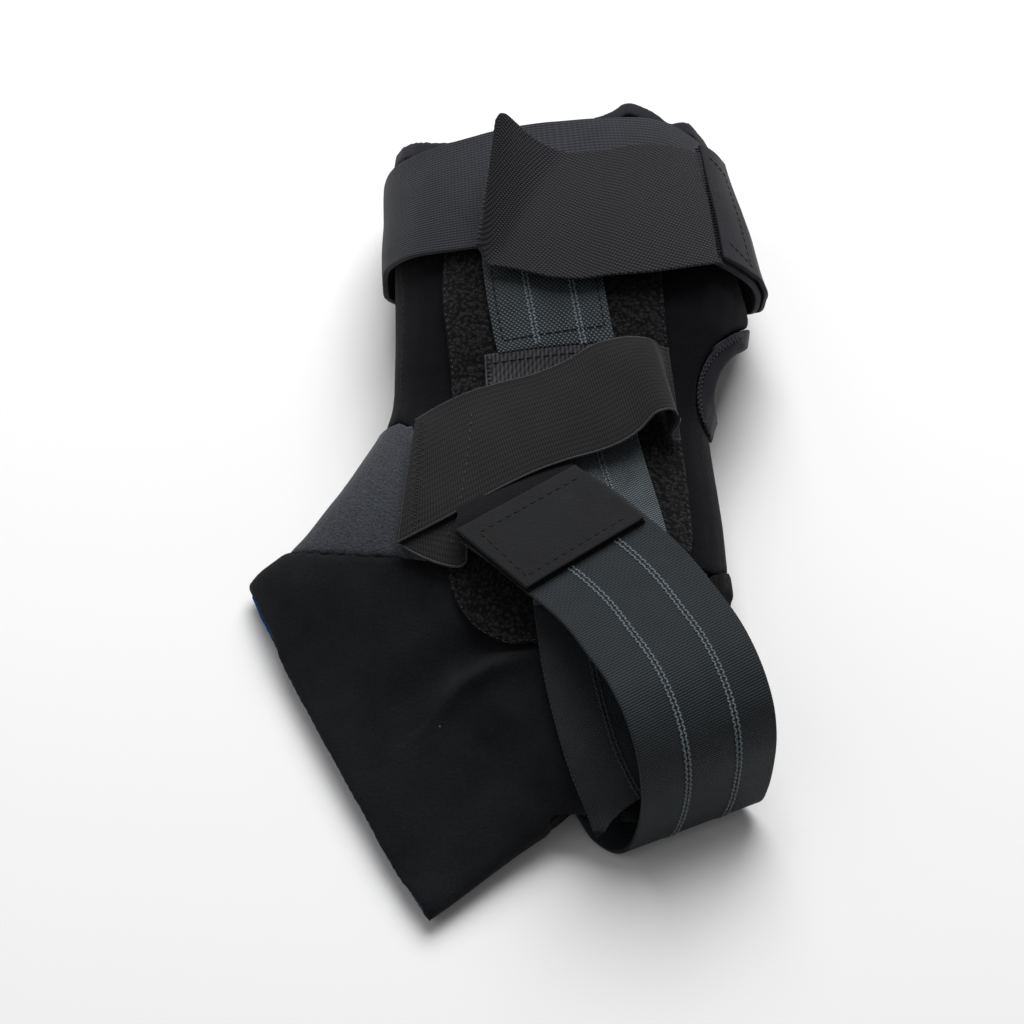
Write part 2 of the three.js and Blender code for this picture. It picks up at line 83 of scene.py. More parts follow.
# A small step in u or v, a small step in the plan, and how softly a strap settles on its bed
SMALL_SHARE = 0.004
SMALL_STEP = 0.5
SETTLING = 0.6

# One row of stitches on the path: no offset, no lean and no shift
PLAIN_ROW = ((0.0, 0.0, 0.0),)

# The lift of each layer's outer face over the sleeve
PILE_FACE = 2.6
WEBBING_FACE = 4.7
ELASTIC_FACE = 6.5
BAND_FACE = 7.9
BAND_SIDE_FACE = 3.5
FLAP_FACE = 9.7
FLAP_SIDE_FACE = 5.8

# Front x, front y, back x, back y, height and bed of the sleeve's sections
SECTIONS = np.array([
    (-0.226, 0.514, 0.387, 0.514, 0.893, 1),
    (-0.232, 0.463, 0.399, 0.467, 0.964, 1),
    (-0.232, 0.384, 0.421, 0.384, 1.0, 1),
    (-0.229, 0.31, 0.44, 0.306, 1.0, 1),
    (-0.226, 0.243, 0.46, 0.231, 0.964, 1),
    (-0.227, 0.18, 0.408, 0.157, 0.911, 0.4),
    (-0.23, 0.141, 0.379, 0.106, 0.857, 0),
    (-0.247, 0.106, 0.387, 0.051, 0.821, 0),
    (-0.28, 0.071, 0.4, -0.016, 0.804, 0),
    (-0.32, 0.031, 0.409, -0.098, 0.786, 0),
    (-0.357, 0.002, 0.427, -0.188, 0.75, 0),
    (-0.39, -0.022, 0.415, -0.282, 0.679, 0),
    (-0.424, -0.039, 0.341, -0.353, 0.589, 0),
    (-0.454, -0.05, 0.22, -0.384, 0.5, 0),
    (-0.479, -0.059, 0.104, -0.376, 0.411, 0),
    (-0.493, -0.064, -0.012, -0.424, 0.3, 0),
    (-0.5, -0.067, -0.146, -0.486, 0.23, 0),
]) * (BRACE_WIDTH, BRACE_LENGTH, BRACE_WIDTH, BRACE_LENGTH, LEG_HEIGHT, BAND_BED)
LAST = len(SECTIONS) - 1

# The frame's plan is moved by this much from the tables' own plan: the last section has the
# foot's least x at its front and its least y at its back
SHIFT_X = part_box("foot_sleeve")[0][0] / MM - float(SECTIONS[LAST][0])
SHIFT_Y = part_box("foot_sleeve")[0][1] / MM - float(SECTIONS[LAST][3])


def between(rows, place):
    """A table's row at a place between its rows, on a smooth curve through them."""
    last = len(rows) - 1
    at = min(max(place, 0.0), last - 1e-9)
    k = int(at)
    t = at - k
    b, c = rows[k], rows[k + 1]
    a = rows[k - 1] if k > 0 else 2 * b - c
    d = rows[k + 2] if k + 2 <= last else 2 * c - b
    return 0.5 * (2 * b + (c - a) * t + (2 * a - 5 * b + 4 * c - d) * t * t
                  + (3 * b - a - 3 * c + d) * t * t * t)


FINE_PLACES = np.linspace(0, LAST, 32 * LAST + 1)
FINE = np.array([between(SECTIONS, place) for place in FINE_PLACES])


def section_at(x, y):
    """The section's number whose line from front to back passes through a plan point."""
    side = (FINE[:, 2] - FINE[:, 0]) * (y - FINE[:, 1]) - (FINE[:, 3] - FINE[:, 1]) * (x - FINE[:, 0])
    crossing = np.nonzero((side[:-1] <= 0) & (side[1:] > 0))[0]
    if len(crossing) == 0:
        return 0.0 if side[0] > 0 else float(LAST)
    k = crossing[0]
    return float(FINE_PLACES[k] + (FINE_PLACES[1] - FINE_PLACES[0]) * side[k] / (side[k] - side[k + 1]))


def section(place):
    """Middle x and y, direction across, half width, height and bed of the sleeve at a place."""
    fx, fy, bx, by, height, bed = between(SECTIONS, place)
    half = math.hypot(bx - fx, by - fy) / 2
    return ((fx + bx) / 2, (fy + by) / 2, (bx - fx) / (2 * half), (by - fy) / (2 * half), half,
            height, min(max(bed, 0.0), BAND_BED))


def near_height(x, y, lift, side=None):
    """The height of the near side over a plan point, with a lift on top and at the sides."""
    mx, my, ax, ay, half, height, bed = section(section_at(x, y))
    along = abs((x - mx) * ax + (y - my) * ay)
    share = min(along / (half + (lift if side is None else side)), 1.0)
    rise = (1 - share ** DOME_POWER) ** (1 / DOME_POWER)
    return bed + height * SIDE_HEIGHT + (height * (1 - SIDE_HEIGHT) + lift) * rise


def sleeve_point(place, angle, side, top, bottom):
    """A point round the sleeve's section, moved out by so much at the sides, top and bottom."""
    mx, my, ax, ay, half, height, bed = section(place)
    cosine, sine = math.cos(angle), math.sin(angle)
    power = DOME_POWER if sine >= 0 else FLAT_POWER
    along = math.copysign(abs(cosine) ** (2 / power), cosine) * (half + side)
    rise = abs(sine) ** (2 / power)
    if sine >= 0:
        z = (height * (1 - SIDE_HEIGHT) + top) * rise
    else:
        z = -(height * SIDE_HEIGHT + bottom) * min(rise * FLATTENING, 1)
    return Vector((mx + along * ax, my + along * ay, bed + height * SIDE_HEIGHT + z))


def to_frame(point):
    """A plan point in millimetres as a point of the frame in metres."""
    return Vector(((point[0] + SHIFT_X) * MM, (point[1] + SHIFT_Y) * MM, point[2] * MM))


def to_plan(point):
    """A point of the frame in metres as a plan point in millimetres."""
    return Vector((point[0] / MM - SHIFT_X, point[1] / MM - SHIFT_Y, point[2] / MM))


def waves(x, y, size, z=0.0):
    """Smooth unevenness from -1 to 1, of that size in millimetres."""
    return noise.noise(Vector((x / size, y / size, z / size)))


def step(low, high, value):
    """A smooth rise from 0 at low to 1 at high."""
    t = min(max((value - low) / (high - low), 0.0), 1.0)
    return t * t * (3 - 2 * t)


# Cloth surfaces
class Rail:
    """A strap's table of rows, followed by the share of its length."""

    def __init__(self, rows, centre):
        self.rows = np.array(rows, float)
        self.last = len(rows) - 1
        self.places = np.linspace(0, self.last, 40 * self.last + 1)
        points = [Vector(centre(between(self.rows, p))) for p in self.places]
        steps = [0.0] + [(b - a).length for a, b in zip(points, points[1:])]
        self.distance = np.cumsum(steps)
        self.length = float(self.distance[-1])

    def at(self, u):
        place = np.interp(u * self.length, self.distance, self.places)
        return between(self.rows, float(place))


def laid_strap(rows, width, face):
    """A strap of one width that lies on the near side: centre x, centre y, direction across."""
    rail = Rail(rows, lambda r: (r[0], r[1], near_height(r[0], r[1], face)))

    def point(u, v):
        row = rail.at(u)
        turn = math.radians(row[2])
        off = (v - 0.5) * width
        x, y = row[0] + off * math.cos(turn), row[1] + off * math.sin(turn)
        return Vector((x, y, near_height(x, y, face)))

    return point, (width, rail.length)


def free_strap(rows, width, lift=0.0):
    """A strap of one width on stations in space: centre x, y, z, direction across, rise."""
    rail = Rail(rows, lambda r: r[:3])

    def point(u, v):
        row = rail.at(u)
        turn, rise = math.radians(row[3]), math.radians(row[4])
        across = Vector((math.cos(turn) * math.cos(rise), math.sin(turn) * math.cos(rise), math.sin(rise)))
        ahead = Vector(rail.at(min(u + SMALL_SHARE, 1))[:3] - rail.at(max(u - SMALL_SHARE, 0))[:3])
        out = across.cross(ahead).normalized()
        return Vector(row[:3]) + across * ((v - 0.5) * width) - out * lift

    return point, (width, rail.length)


def spanned_strap(rows, face, bulge=0.0, side=None):
    """A strap between two edges given in space, that doesn't sink into what it lies on."""
    rail = Rail(rows, lambda r: (r[:3] + r[3:6]) / 2)
    width = float(np.mean([np.linalg.norm(r[:3] - r[3:6]) for r in rail.rows]))

    def point(u, v):
        row = rail.at(u)
        p = Vector(row[:3] * (1 - v) + row[3:6] * v)
        p.z += bulge * 4 * v * (1 - v)
        floor = near_height(p.x, p.y, face, side)
        gap = p.z - floor
        p.z = floor + (gap + math.sqrt(gap * gap + SETTLING)) / 2
        return p

    return point, (width, rail.length)


def facing(point, u, v, outward=None):
    """The surface's normal at u and v, turned outwards."""
    du = point(min(u + SMALL_SHARE, 1), v) - point(max(u - SMALL_SHARE, 0), v)
    dv = point(u, min(v + SMALL_SHARE, 1)) - point(u, max(v - SMALL_SHARE, 0))
    normal = du.cross(dv).normalized()
    out = outward(point(u, v)) if outward else UP
    return normal if normal.dot(out) > 0 else -normal


def path_on(point, turns, count, lift=0.0, outward=None):
    """Points and normals along a line through turns of (u, v) on a surface."""
    places = [(a[0] + (b[0] - a[0]) * k / count, a[1] + (b[1] - a[1]) * k / count)
              for a, b in zip(turns, turns[1:]) for k in range(count)]
    path = []
    for u, v in [*places, turns[-1]]:
        normal = facing(point, u, v, outward)
        path.append((point(u, v) + normal * lift, normal))
    return path


# Making pieces
def add_object(name, data):
    """A new object in the scene."""
    made = bpy.data.objects.new(name, data)
    bpy.context.scene.collection.objects.link(made)
    return made


def mesh_object(name, bm, materials):
    """A new object with a mesh made from a bmesh that is in the frame's metres."""
    mesh = bpy.data.meshes.new(name)
    bm.to_mesh(mesh)
    bm.free()
    for material in materials:
        mesh.materials.append(material)
    return add_object(name, mesh)


def make_piece(name, bm, materials, nodes=()):
    """A finished piece from a bmesh."""
    piece = mesh_object(name, bm, materials)
    piece.data.shade_smooth()
    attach(piece, "root")
    if nodes:
        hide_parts(*nodes)
    return piece


def cloth_grid(cells, width, length):
    """A flat grid from -0.5 to 0.5 with a map of the cloth's own width and length."""
    bm = bmesh.new()
    bmesh.ops.create_grid(bm, x_segments=cells[0], y_segments=cells[1], size=0.5)
    uv = bm.loops.layers.uv.new("cloth")
    for face in bm.faces:
        for loop in face.loops:
            x, y = loop.vert.co.x + 0.5, loop.vert.co.y + 0.5
            loop[uv].uv = (x * width * MM, y * length * MM)
    return bm


def cloth_sheet(name, point, size, cells, thickness, material, nodes=(), outward=None, ring=False):
    """A sheet of cloth on point(u, v), its outer face in plan millimetres, u along and v across."""
    bm = cloth_grid(cells, *size)
    for vert in bm.verts:
        vert.co = to_frame(point(vert.co.y + 0.5, vert.co.x + 0.5))
    if ring:
        bmesh.ops.remove_doubles(bm, verts=bm.verts, dist=0.02 * MM)
    bm.normal_update()
    turned = 0.0
    for face in bm.faces:
        centre = face.calc_center_median()
        out = outward(to_plan(centre)) if outward else UP
        turned += face.normal.dot(out) * face.calc_area()
    if turned < 0:
        bmesh.ops.reverse_faces(bm, faces=bm.faces)
    piece = make_piece(name, bm, [material], nodes)
    wall = piece.modifiers.new("Thickness", "SOLIDIFY")
    wall.thickness = thickness * MM
    wall.offset = -1
    edge = piece.modifiers.new("Soft edge", "BEVEL")
    edge.width = min(0.35, thickness * 0.3) * MM
    edge.segments = 2
    edge.limit_method = "ANGLE"
    edge.angle_limit = math.radians(50)
    return piece


def edge_cord(name, path, radius, material, sides=8):
    """A thin cord along a path of (point, normal), closed at both ends."""
    bm = cloth_grid((sides, len(path) - 1), 6 * radius, len(path))
    for vert in bm.verts:
        k = round((vert.co.y + 0.5) * (len(path) - 1))
        turn = (vert.co.x + 0.5) * 2 * math.pi
        point, normal = path[k]
        ahead = (path[min(k + 1, len(path) - 1)][0] - path[max(k - 1, 0)][0]).normalized()
        side = ahead.cross(normal).normalized()
        over = side.cross(ahead)
        vert.co = to_frame(point + (side * math.cos(turn) + over * math.sin(turn)) * radius)
    bmesh.ops.remove_doubles(bm, verts=bm.verts, dist=0.01 * MM)
    bmesh.ops.holes_fill(bm, edges=[e for e in bm.edges if e.is_boundary], sides=sides)
    bmesh.ops.recalc_face_normals(bm, faces=bm.faces)
    return make_piece(name, bm, [material])


def sew(bm, path, pitch, stitch, rows=PLAIN_ROW):
    """Adds stitches along a path: a stitch's length, width and height, and for each row its offset
    across, its lean in degrees and its shift as a share of the pitch."""
    points = [p for p, n in path]
    steps = [0.0] + [(b - a).length for a, b in zip(points, points[1:])]
    distance = np.cumsum(steps)
    count = max(int(distance[-1] / pitch), 1)
    for number in range(count):
        for offset, lean, shift in rows:
            want = (number + 0.5 + shift) * pitch
            if want > distance[-1]:
                continue
            k = min(max(int(np.searchsorted(distance, want)) - 1, 0), len(path) - 2)
            t = (want - distance[k]) / max(distance[k + 1] - distance[k], 1e-6)
            at = points[k].lerp(points[k + 1], t)
            normal = path[k][1].lerp(path[k + 1][1], t).normalized()
            ahead = (points[k + 1] - points[k]).normalized()
            side = normal.cross(ahead).normalized()
            turn = math.radians(lean)
            along = ahead * math.cos(turn) + side * math.sin(turn)
            beside = normal.cross(along).normalized()
            turned = Matrix((along, beside, normal)).transposed().to_4x4()
            sized = Matrix.Diagonal((stitch[0] / 2 * MM, stitch[1] / 2 * MM, stitch[2] / 2 * MM, 1))
            place = Matrix.Translation(to_frame(at + side * offset))
            bmesh.ops.create_icosphere(bm, subdivisions=1, radius=1, matrix=place @ turned @ sized)


def soft_wall(name, node, voxel, smoothing, materials, shape=None, lining=False):
    """A fine, soft-edged copy of a wall of the frame. shape(point, near) moves a plan point, and with
    a lining the inner faces take the second material."""
    rough = add_object(name + "_rough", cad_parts[node].data.copy())
    bm = bmesh.new()
    bm.from_mesh(rough.data)
    bmesh.ops.remove_doubles(bm, verts=bm.verts, dist=0.01 * MM)
    bm.to_mesh(rough.data)
    bm.free()
    remesh = rough.modifiers.new("Fine", "REMESH")
    remesh.mode = "VOXEL"
    remesh.voxel_size = voxel * MM
    fine = bpy.data.meshes.new_from_object(rough.evaluated_get(bpy.context.evaluated_depsgraph_get()))
    bm = bmesh.new()
    bm.from_mesh(fine)
    bpy.data.objects.remove(rough)
    bpy.data.meshes.remove(fine)
    for _ in range(smoothing):
        bmesh.ops.smooth_vert(bm, verts=bm.verts, factor=0.5,
                              use_axis_x=True, use_axis_y=True, use_axis_z=True)
    inner = {}
    for vert in bm.verts:
        p = to_plan(vert.co)
        mx, my, ax, ay, half, height, bed = section(section_at(p.x, p.y))
        along = (p.x - mx) * ax + (p.y - my) * ay
        rise = p.z - bed - height * SIDE_HEIGHT
        if rise >= 0:
            depth = SLEEVE_WALL * LINING_ABOVE
            power, reach = DOME_POWER, height * (1 - SIDE_HEIGHT) - depth
        else:
            depth = SLEEVE_WALL * LINING_BELOW
            power, reach = FLAT_POWER, height * SIDE_HEIGHT - depth
        inner[vert.index] = abs(along / (half - depth)) ** power + abs(rise / reach) ** power < 1
        if shape:
            vert.co = to_frame(shape(p, rise > 0))
    if lining:
        for face in bm.faces:
            if all(inner[v.index] for v in face.verts):
                face.material_index = 1
    bm.normal_update()
    return make_piece(name, bm, materials, [node])


def seam(face, turns, count, lift, pitch, stitch, rows=PLAIN_ROW, outward=None):
    """A seam on a surface: its path, pitch, stitch and rows."""
    return path_on(face, turns, count, lift, outward), pitch, stitch, rows


def lengthwise(v, start=0, end=1):
    """The turns of a line along a strap, at one place across it."""
    return [(start, v), (end, v)]


def sew_piece(name, finish, seams):
    """A piece made of the stitches of seams."""
    bm = bmesh.new()
    for one in seams:
        sew(bm, *one)
    return make_piece(name, bm, [finishes[finish]])


# Finishes
def tone_of(colour):
    """A colour with its alpha, from a hex code or from red, green and blue."""
    return (*(linear(colour) if isinstance(colour, str) else colour), 1)


class Finish:
    """A finish while its nodes are added. Places and sizes in it are in millimetres."""

    def __init__(self, name, roughness, sheen, specular):
        self.material = bpy.data.materials.new(name)
        self.material.use_nodes = True
        self.tree = self.material.node_tree
        self.tree.nodes.clear()
        self.shader = self.add("BsdfPrincipled", {
            "Roughness": roughness, "Sheen Weight": sheen, "Sheen Roughness": 0.5,
            "Specular IOR Level": specular, "IOR": 1.46,
        })
        self.add("OutputMaterial", {"Surface": self.shader.outputs[0]})
        self.place = self.in_millimetres(self.add("TexCoord", {}).outputs["Object"])

    def add(self, kind, inputs, **settings):
        """Adds a node with its settings, its values and its links."""
        made = self.tree.nodes.new("ShaderNode" + kind)
        for name, value in settings.items():
            setattr(made, name, value)
        for key, value in inputs.items():
            if isinstance(value, bpy.types.NodeSocket):
                self.tree.links.new(value, made.inputs[key])
            else:
                made.inputs[key].default_value = value
        return made

    def in_millimetres(self, place):
        return self.add("VectorMath", {0: place, 1: (1000, 1000, 1000)}, operation="MULTIPLY").outputs[0]

    def cloth_place(self):
        """The place across and along a cloth's own map."""
        place = self.add("UVMap", {}, uv_map="cloth").outputs[0]
        parts = self.add("SeparateXYZ", {0: self.in_millimetres(place)})
        return parts.outputs[0], parts.outputs[1]

    def combine(self, a, b, operation="MULTIPLY"):
        return self.add("Math", {0: a, 1: b}, operation=operation).outputs[0]

    def total(self, *parts):
        """The sum of values, each times its weight."""
        values = [self.combine(value, weight) for value, weight in parts]
        result = values[0]
        for value in values[1:]:
            result = self.combine(result, value, "ADD")
        return result

    def ribs(self, distance, pitch):
        """A wave from 0 to 1 that repeats every pitch of a distance."""
        turns = self.combine(distance, 2 * math.pi / pitch)
        wave = self.add("Math", {0: turns}, operation="SINE").outputs[0]
        return self.add("Math", {0: wave, 1: 0.5, 2: 0.5}, operation="MULTIPLY_ADD").outputs[0]

    def speckle(self, size, detail=2.0, roughness=0.5):
        """Noise from 0 to 1, of that grain."""
        return self.add("TexNoise", {
            "Vector": self.place, "Scale": 1 / size, "Detail": detail, "Roughness": roughness,
        }).outputs["Fac"]

    def contrast(self, value, low, high):
        """A value stretched so that low becomes 0 and high becomes 1."""
        return self.add("MapRange", {0: value, 1: low, 2: high, 3: 0.0, 4: 1.0}, clamp=True).outputs[0]

    def blend(self, amount, low, high):
        """A colour between two colours."""
        return self.add("Mix", {0: amount, 6: low, 7: high}, data_type="RGBA").outputs[2]

    def done(self, colour, height, depth):
        """The material, with its colour, and relief of a height of 0 to 1 that stands for a depth."""
        bump = self.add("Bump", {"Height": height, "Strength": 1.0, "Distance": depth * MM})
        self.tree.links.new(colour, self.shader.inputs["Base Color"])
        self.tree.links.new(bump.outputs[0], self.shader.inputs["Normal"])
        return self.material

    def cloth(self, tone, span, dark, light, height, depth):
        """The material of a cloth whose tone runs from dark to light over a span of values."""
        amount = self.contrast(tone, *span) if span else tone
        return self.done(self.blend(amount, tone_of(dark), tone_of(light)), height, depth)


def brushed_nap(name, dark, light, grain, lint=False):
    """Brushed polyester jersey laminated to foam: a short soft nap that drinks the light and
    shows as a fine grain, with wide cloudy patches where the nap lies another way."""
    finish = Finish(name, 0.95, 0.04, 0.08)
    fine = finish.speckle(grain, 3.0, 0.7)
    patches = finish.speckle(14.0)
    tone = finish.total((finish.contrast(fine, 0.3, 0.75), 0.5), (finish.contrast(patches, 0.2, 0.8), 0.5))
    colour = finish.blend(tone, tone_of(dark), tone_of(light))
    if lint:
        cells = finish.add("TexVoronoi", {"Vector": finish.place, "Scale": 1 / 9.0})
        shade = finish.add("SeparateColor", {0: cells.outputs["Color"]}).outputs[0]
        dot = finish.combine(cells.outputs["Distance"], 0.035, "LESS_THAN")
        few = finish.combine(shade, 0.55, "GREATER_THAN")
        fleck = finish.combine(finish.combine(dot, few), 0.5)
        colour = finish.blend(fleck, colour, tone_of("#77797c"))
    return finish.done(colour, fine, 0.35)


def loop_pile(name, dark, light):
    """Knitted nylon loop pile: little uncombed curls, lighter at their tops."""
    finish = Finish(name, 0.9, 0.05, 0.1)
    bend = finish.add("TexNoise", {"Vector": finish.place, "Scale": 0.9, "Detail": 1.0})
    moved = finish.add("VectorMath", {0: finish.place, 1: bend.outputs["Color"]}, operation="ADD")
    curls = finish.add("TexVoronoi", {"Vector": moved.outputs[0], "Scale": 1 / 1.1}, feature="SMOOTH_F1")
    tops = finish.contrast(curls.outputs["Distance"], 0.55, 0.05)
    height = finish.total((tops, 0.6), (finish.speckle(0.55, 3.0, 0.75), 0.7))
    return finish.cloth(height, (0.35, 1.0), dark, light, height, 0.7)


def stretch_knit(name, dark, light):
    """Charcoal stretch knit: melange yarn in small stitches, mottled light and dark."""
    finish = Finish(name, 0.9, 0.1, 0.15)
    yarn = finish.speckle(0.75, 2.0, 0.6)
    cells = finish.add("TexVoronoi", {"Vector": finish.place, "Scale": 1 / 0.8})
    height = finish.total((yarn, 0.5), (finish.contrast(cells.outputs["Distance"], 0.7, 0.0), 0.5))
    tone = finish.total((finish.contrast(yarn, 0.3, 0.7), 0.75), (finish.speckle(20.0), 0.3))
    return finish.cloth(tone, None, dark, light, height, 0.35)


def nylon_webbing(name, dark, light, pitch, warp, turned=False, depth=0.3):
    """Woven nylon webbing: cross ribs of thick weft held down by a warp, with a soft gloss on the
    rib tops. The weave is drawn at its own pitch."""
    finish = Finish(name, 0.6, 0.03, 0.15)
    across, along = finish.cloth_place()
    if turned:
        across, along = along, across
    diagonal = finish.ribs(finish.combine(along, across, "ADD"), pitch * 2)
    dots = finish.combine(finish.ribs(across, warp), diagonal)
    height = finish.total((finish.ribs(along, pitch), 0.7), (dots, 0.4))
    tone = finish.total((height, 0.8), (finish.speckle(6.0), 0.3))
    return finish.cloth(tone, (0.2, 1.05), dark, light, height, depth)


def mesh_webbing(name, dark, light, pitch):
    """Open plain-woven nylon webbing: round dots of yarn on the diagonal."""
    finish = Finish(name, 0.6, 0.05, 0.3)
    across, along = finish.cloth_place()
    rising = finish.ribs(finish.combine(across, along, "ADD"), pitch * 1.414)
    falling = finish.ribs(finish.combine(across, along, "SUBTRACT"), pitch * 1.414)
    height = finish.combine(rising, falling)
    tone = finish.total((height, 0.9), (finish.speckle(7.0), 0.25))
    return finish.cloth(tone, (0.05, 0.9), dark, light, height, 0.35)


def knitted_elastic(name, dark, light, pitch, wale):
    """Covered rubber elastic: fine cross ribs between lengthwise wales, matt."""
    finish = Finish(name, 0.8, 0.07, 0.2)
    across, along = finish.cloth_place()
    height = finish.total((finish.ribs(along, pitch), 0.55), (finish.ribs(across, wale), 0.25),
                          (finish.speckle(0.5, 2.0, 0.6), 0.4))
    tone = finish.total((height, 0.75), (finish.speckle(16.0), 0.35))
    return finish.cloth(tone, (0.3, 0.95), dark, light, height, 0.22)


def dotted_twill(name, dark, light, pitch):
    """Heavy twill tape: staggered raised dots on a dark ground, in rising diagonals."""
    finish = Finish(name, 0.75, 0.06, 0.22)
    across, along = finish.cloth_place()
    rising = finish.ribs(finish.total((along, 1), (across, 0.62)), pitch)
    falling = finish.ribs(finish.total((along, 0.45), (across, -1)), pitch * 0.9)
    height = finish.combine(rising, falling)
    tone = finish.total((height, 0.9), (finish.speckle(0.5), 0.25))
    return finish.cloth(tone, (0.1, 0.95), dark, light, height, 0.32)


def smooth_backing(name, dark, light):
    """Hook tape's woven back, coated: nearly smooth, with a faint grain and a soft gloss."""
    finish = Finish(name, 0.6, 0.03, 0.12)
    along = finish.cloth_place()[1]
    grain = finish.total((finish.ribs(along, 0.8), 0.2), (finish.speckle(0.6), 1))
    tone = finish.total((grain, 0.5), (finish.speckle(9.0), 0.6))
    return finish.cloth(tone, (0.15, 0.8), dark, light, grain, 0.1)


def plain_thread(name, dark, light, roughness=0.55):
    """Twisted polyester thread: a little lighter where it is rubbed."""
    finish = Finish(name, roughness, 0.08, 0.25)
    fine = finish.speckle(0.5)
    return finish.cloth(fine, (0.3, 0.7), dark, light, fine, 0.1)


def brushed_lining(name, dark, light):
    """Blue brushed lining knit with a fine nap."""
    finish = Finish(name, 0.9, 0.15, 0.2)
    fine = finish.speckle(0.6, 3.0, 0.7)
    return finish.cloth(fine, (0.3, 0.7), dark, light, fine, 0.3)


finishes = {}


def make_finishes(choice):
    """Makes all the finishes, from dark and light tones, pitches and grains."""
    finishes.update(
        leg=brushed_nap("brushed_jersey_leg", "#0a0a0d", choice.leg_colour, 0.7),
        foot=brushed_nap("brushed_jersey_foot", "#101112", choice.foot_colour, 0.8, lint=True),
        heel_tape=brushed_nap("black_binding_tape", "#060607", "#111114", 0.7),
        hook_face=brushed_nap("hook_tape_face", "#0d0d0f", "#212124", 0.7),
        gusset=stretch_knit("melange_stretch_knit", "#252729", choice.gusset_colour),
        lining=brushed_lining("brushed_blue_lining", "#083f75", choice.lining_colour),
        pile=loop_pile("nylon_loop_pile", "#0c0c0d", "#2f2f32"),
        webbing=nylon_webbing("nylon_strap_webbing", "#191b1d", choice.webbing_colour, 0.8, 0.9, depth=0.15),
        tape=nylon_webbing("ribbed_seam_tape", "#212123", "#4e4e52", 1.25, 60.0, turned=True),
        mesh=mesh_webbing("open_weave_webbing", "#0b0c0d", "#566066", 1.0),
        # The ankle webbing's copy of the open weave has a lighter top tone than the leg webbing's: painted
        # light, lifting the part that the elastic strap shades.
        open_mesh=mesh_webbing("open_weave_ankle_webbing_painted_light", "#0d0f10", "#7d888f", 1.0),
        binding=knitted_elastic("navy_binding_tape", "#0d0e13", "#20212a", 1.1, 1.5),
        elastic=knitted_elastic("knitted_elastic", "#111112", "#29292b", 0.75, 1.5),
        band=knitted_elastic("calf_band_elastic", "#1f2024", choice.band_colour, 0.9, 1.1),
        twill=dotted_twill("dotted_twill_tape", "#19191c", "#414146", 1.1),
        tab=smooth_backing("hook_tape_backing", "#0f0f11", "#1b1c1e"),
        side_tab=smooth_backing("hook_tape_side_backing", "#1c1c20", "#2c2c31"),
        hooks=plain_thread("moulded_nylon_hooks", "#080809", "#1c1c1f", 0.4),
        selvedge=plain_thread("elastic_selvedge", "#242426", "#3a3a3d"),
        pale=plain_thread("pale_slate_thread", "#4b5358", "#6f797f"),
        # Grey thread. The heel webbing's stitches also use it as painted shade over their pale thread.
        grey=plain_thread("grey_thread", "#242427", "#3e3d42"),
        black=plain_thread("black_thread", "#060607", "#131315"),
        charcoal=plain_thread("charcoal_thread", "#1a1a1b", "#303032"),
        jet=plain_thread("jet_thread", "#060607", "#101014"),
        navy=plain_thread("navy_overlock_thread", "#15161c", "#2d2e3a"),
    )


# Tables of this object's pieces, in millimetres and degrees
# The pile panel's two edges at stations down it: x, y and x, y
PILE_ROWS = np.array([
    (-19.0, 109.7, 44.0, 109.7), (-21.5, 65.0, 46.4, 63.0), (-20.0, 46.9, 48.0, 44.9),
    (-18.5, 30.1, 52.0, 16.1), (-18.9, 2.0, 54.0, -3.6), (-19.8, -17.1, 54.4, -18.1),
    (-18.2, -31.9, 50.0, -31.9), (-11.5, -42.8, 40.0, -43.1), (-1.0, -49.0, 22.0, -49.0),
])
# Centre x, centre y and direction across of the straps that lie on the near side
UPPER_WEBBING = [(6.1, 104.0, 7), (8.9, 68.1, 8), (12.0, 48.6, 8), (13.7, 41.2, 5)]
TAPE = [(10.6, 41.2, 4), (11.3, 30.0, 9), (13.4, 22.0, 11)]
SIDE_WEBBING = [
    (14.8, 21.4, 12), (17.7, 6.6, 14), (24.4, -17.1, 13), (27.6, -31.9, 8),
    (30.8, -54.6, 11), (36.2, -74.7, 21), (41.0, -84.9, 26), (44.5, -90.0, 29),
]
# The straps between two edges: upper edge x, y, z and lower edge x, y, z
ELASTIC_EDGES = [
    (48.0, 41.1, 54.8, 51.5, 14.5, 45.8), (47.0, 41.0, 55.4, 49.6, 14.0, 46.9),
    (46.0, 41.0, 56.0, 48.3, 14.5, 48.7), (45.0, 41.1, 56.7, 49.5, 16.0, 50.9),
    (43.9, 41.7, 57.5, 50.6, 17.3, 53.2), (42.7, 42.4, 58.2, 49.9, 18.7, 56.3),
    (40.5, 42.8, 58.9, 48.3, 18.9, 58.0), (37.5, 42.9, 59.4, 45.9, 18.2, 59.2),
    (34.0, 42.8, 59.4, 42.7, 16.6, 59.2), (29.5, 42.0, 59.0, 38.5, 12.4, 57.5),
    (24.5, 40.6, 58.1, 33.5, 9.0, 56.5), (16.5, 36.2, 56.3, 26.5, 6.3, 55.4),
    (7.0, 32.6, 54.6, 17.0, 3.9, 54.2), (-3.0, 30.4, 53.0, 7.0, 0.6, 52.8),
    (-12.0, 28.4, 51.2, -3.6, -4.3, 51.3), (-18.3, 26.4, 49.4, -12.0, -8.5, 49.7),
    (-24.0, 24.1, 47.5, -21.0, -13.0, 47.4), (-29.7, 21.3, 45.3, -34.6, -18.7, 43.1),
]
UNDER_EDGES = [
    (-33.8, -9.0, 43.0, -34.7, -17.7, 41.8), (-29.5, -6.5, 44.0, -29.5, -21.5, 41.8),
    (-25.0, -5.0, 45.4, -22.5, -25.1, 42.4), (-20.5, -6.5, 46.0, -16.5, -26.8, 43.2),
    (-17.5, -10.0, 46.2, -13.8, -25.6, 44.2), (-16.4, -13.0, 46.2, -13.4, -22.0, 45.2),
]
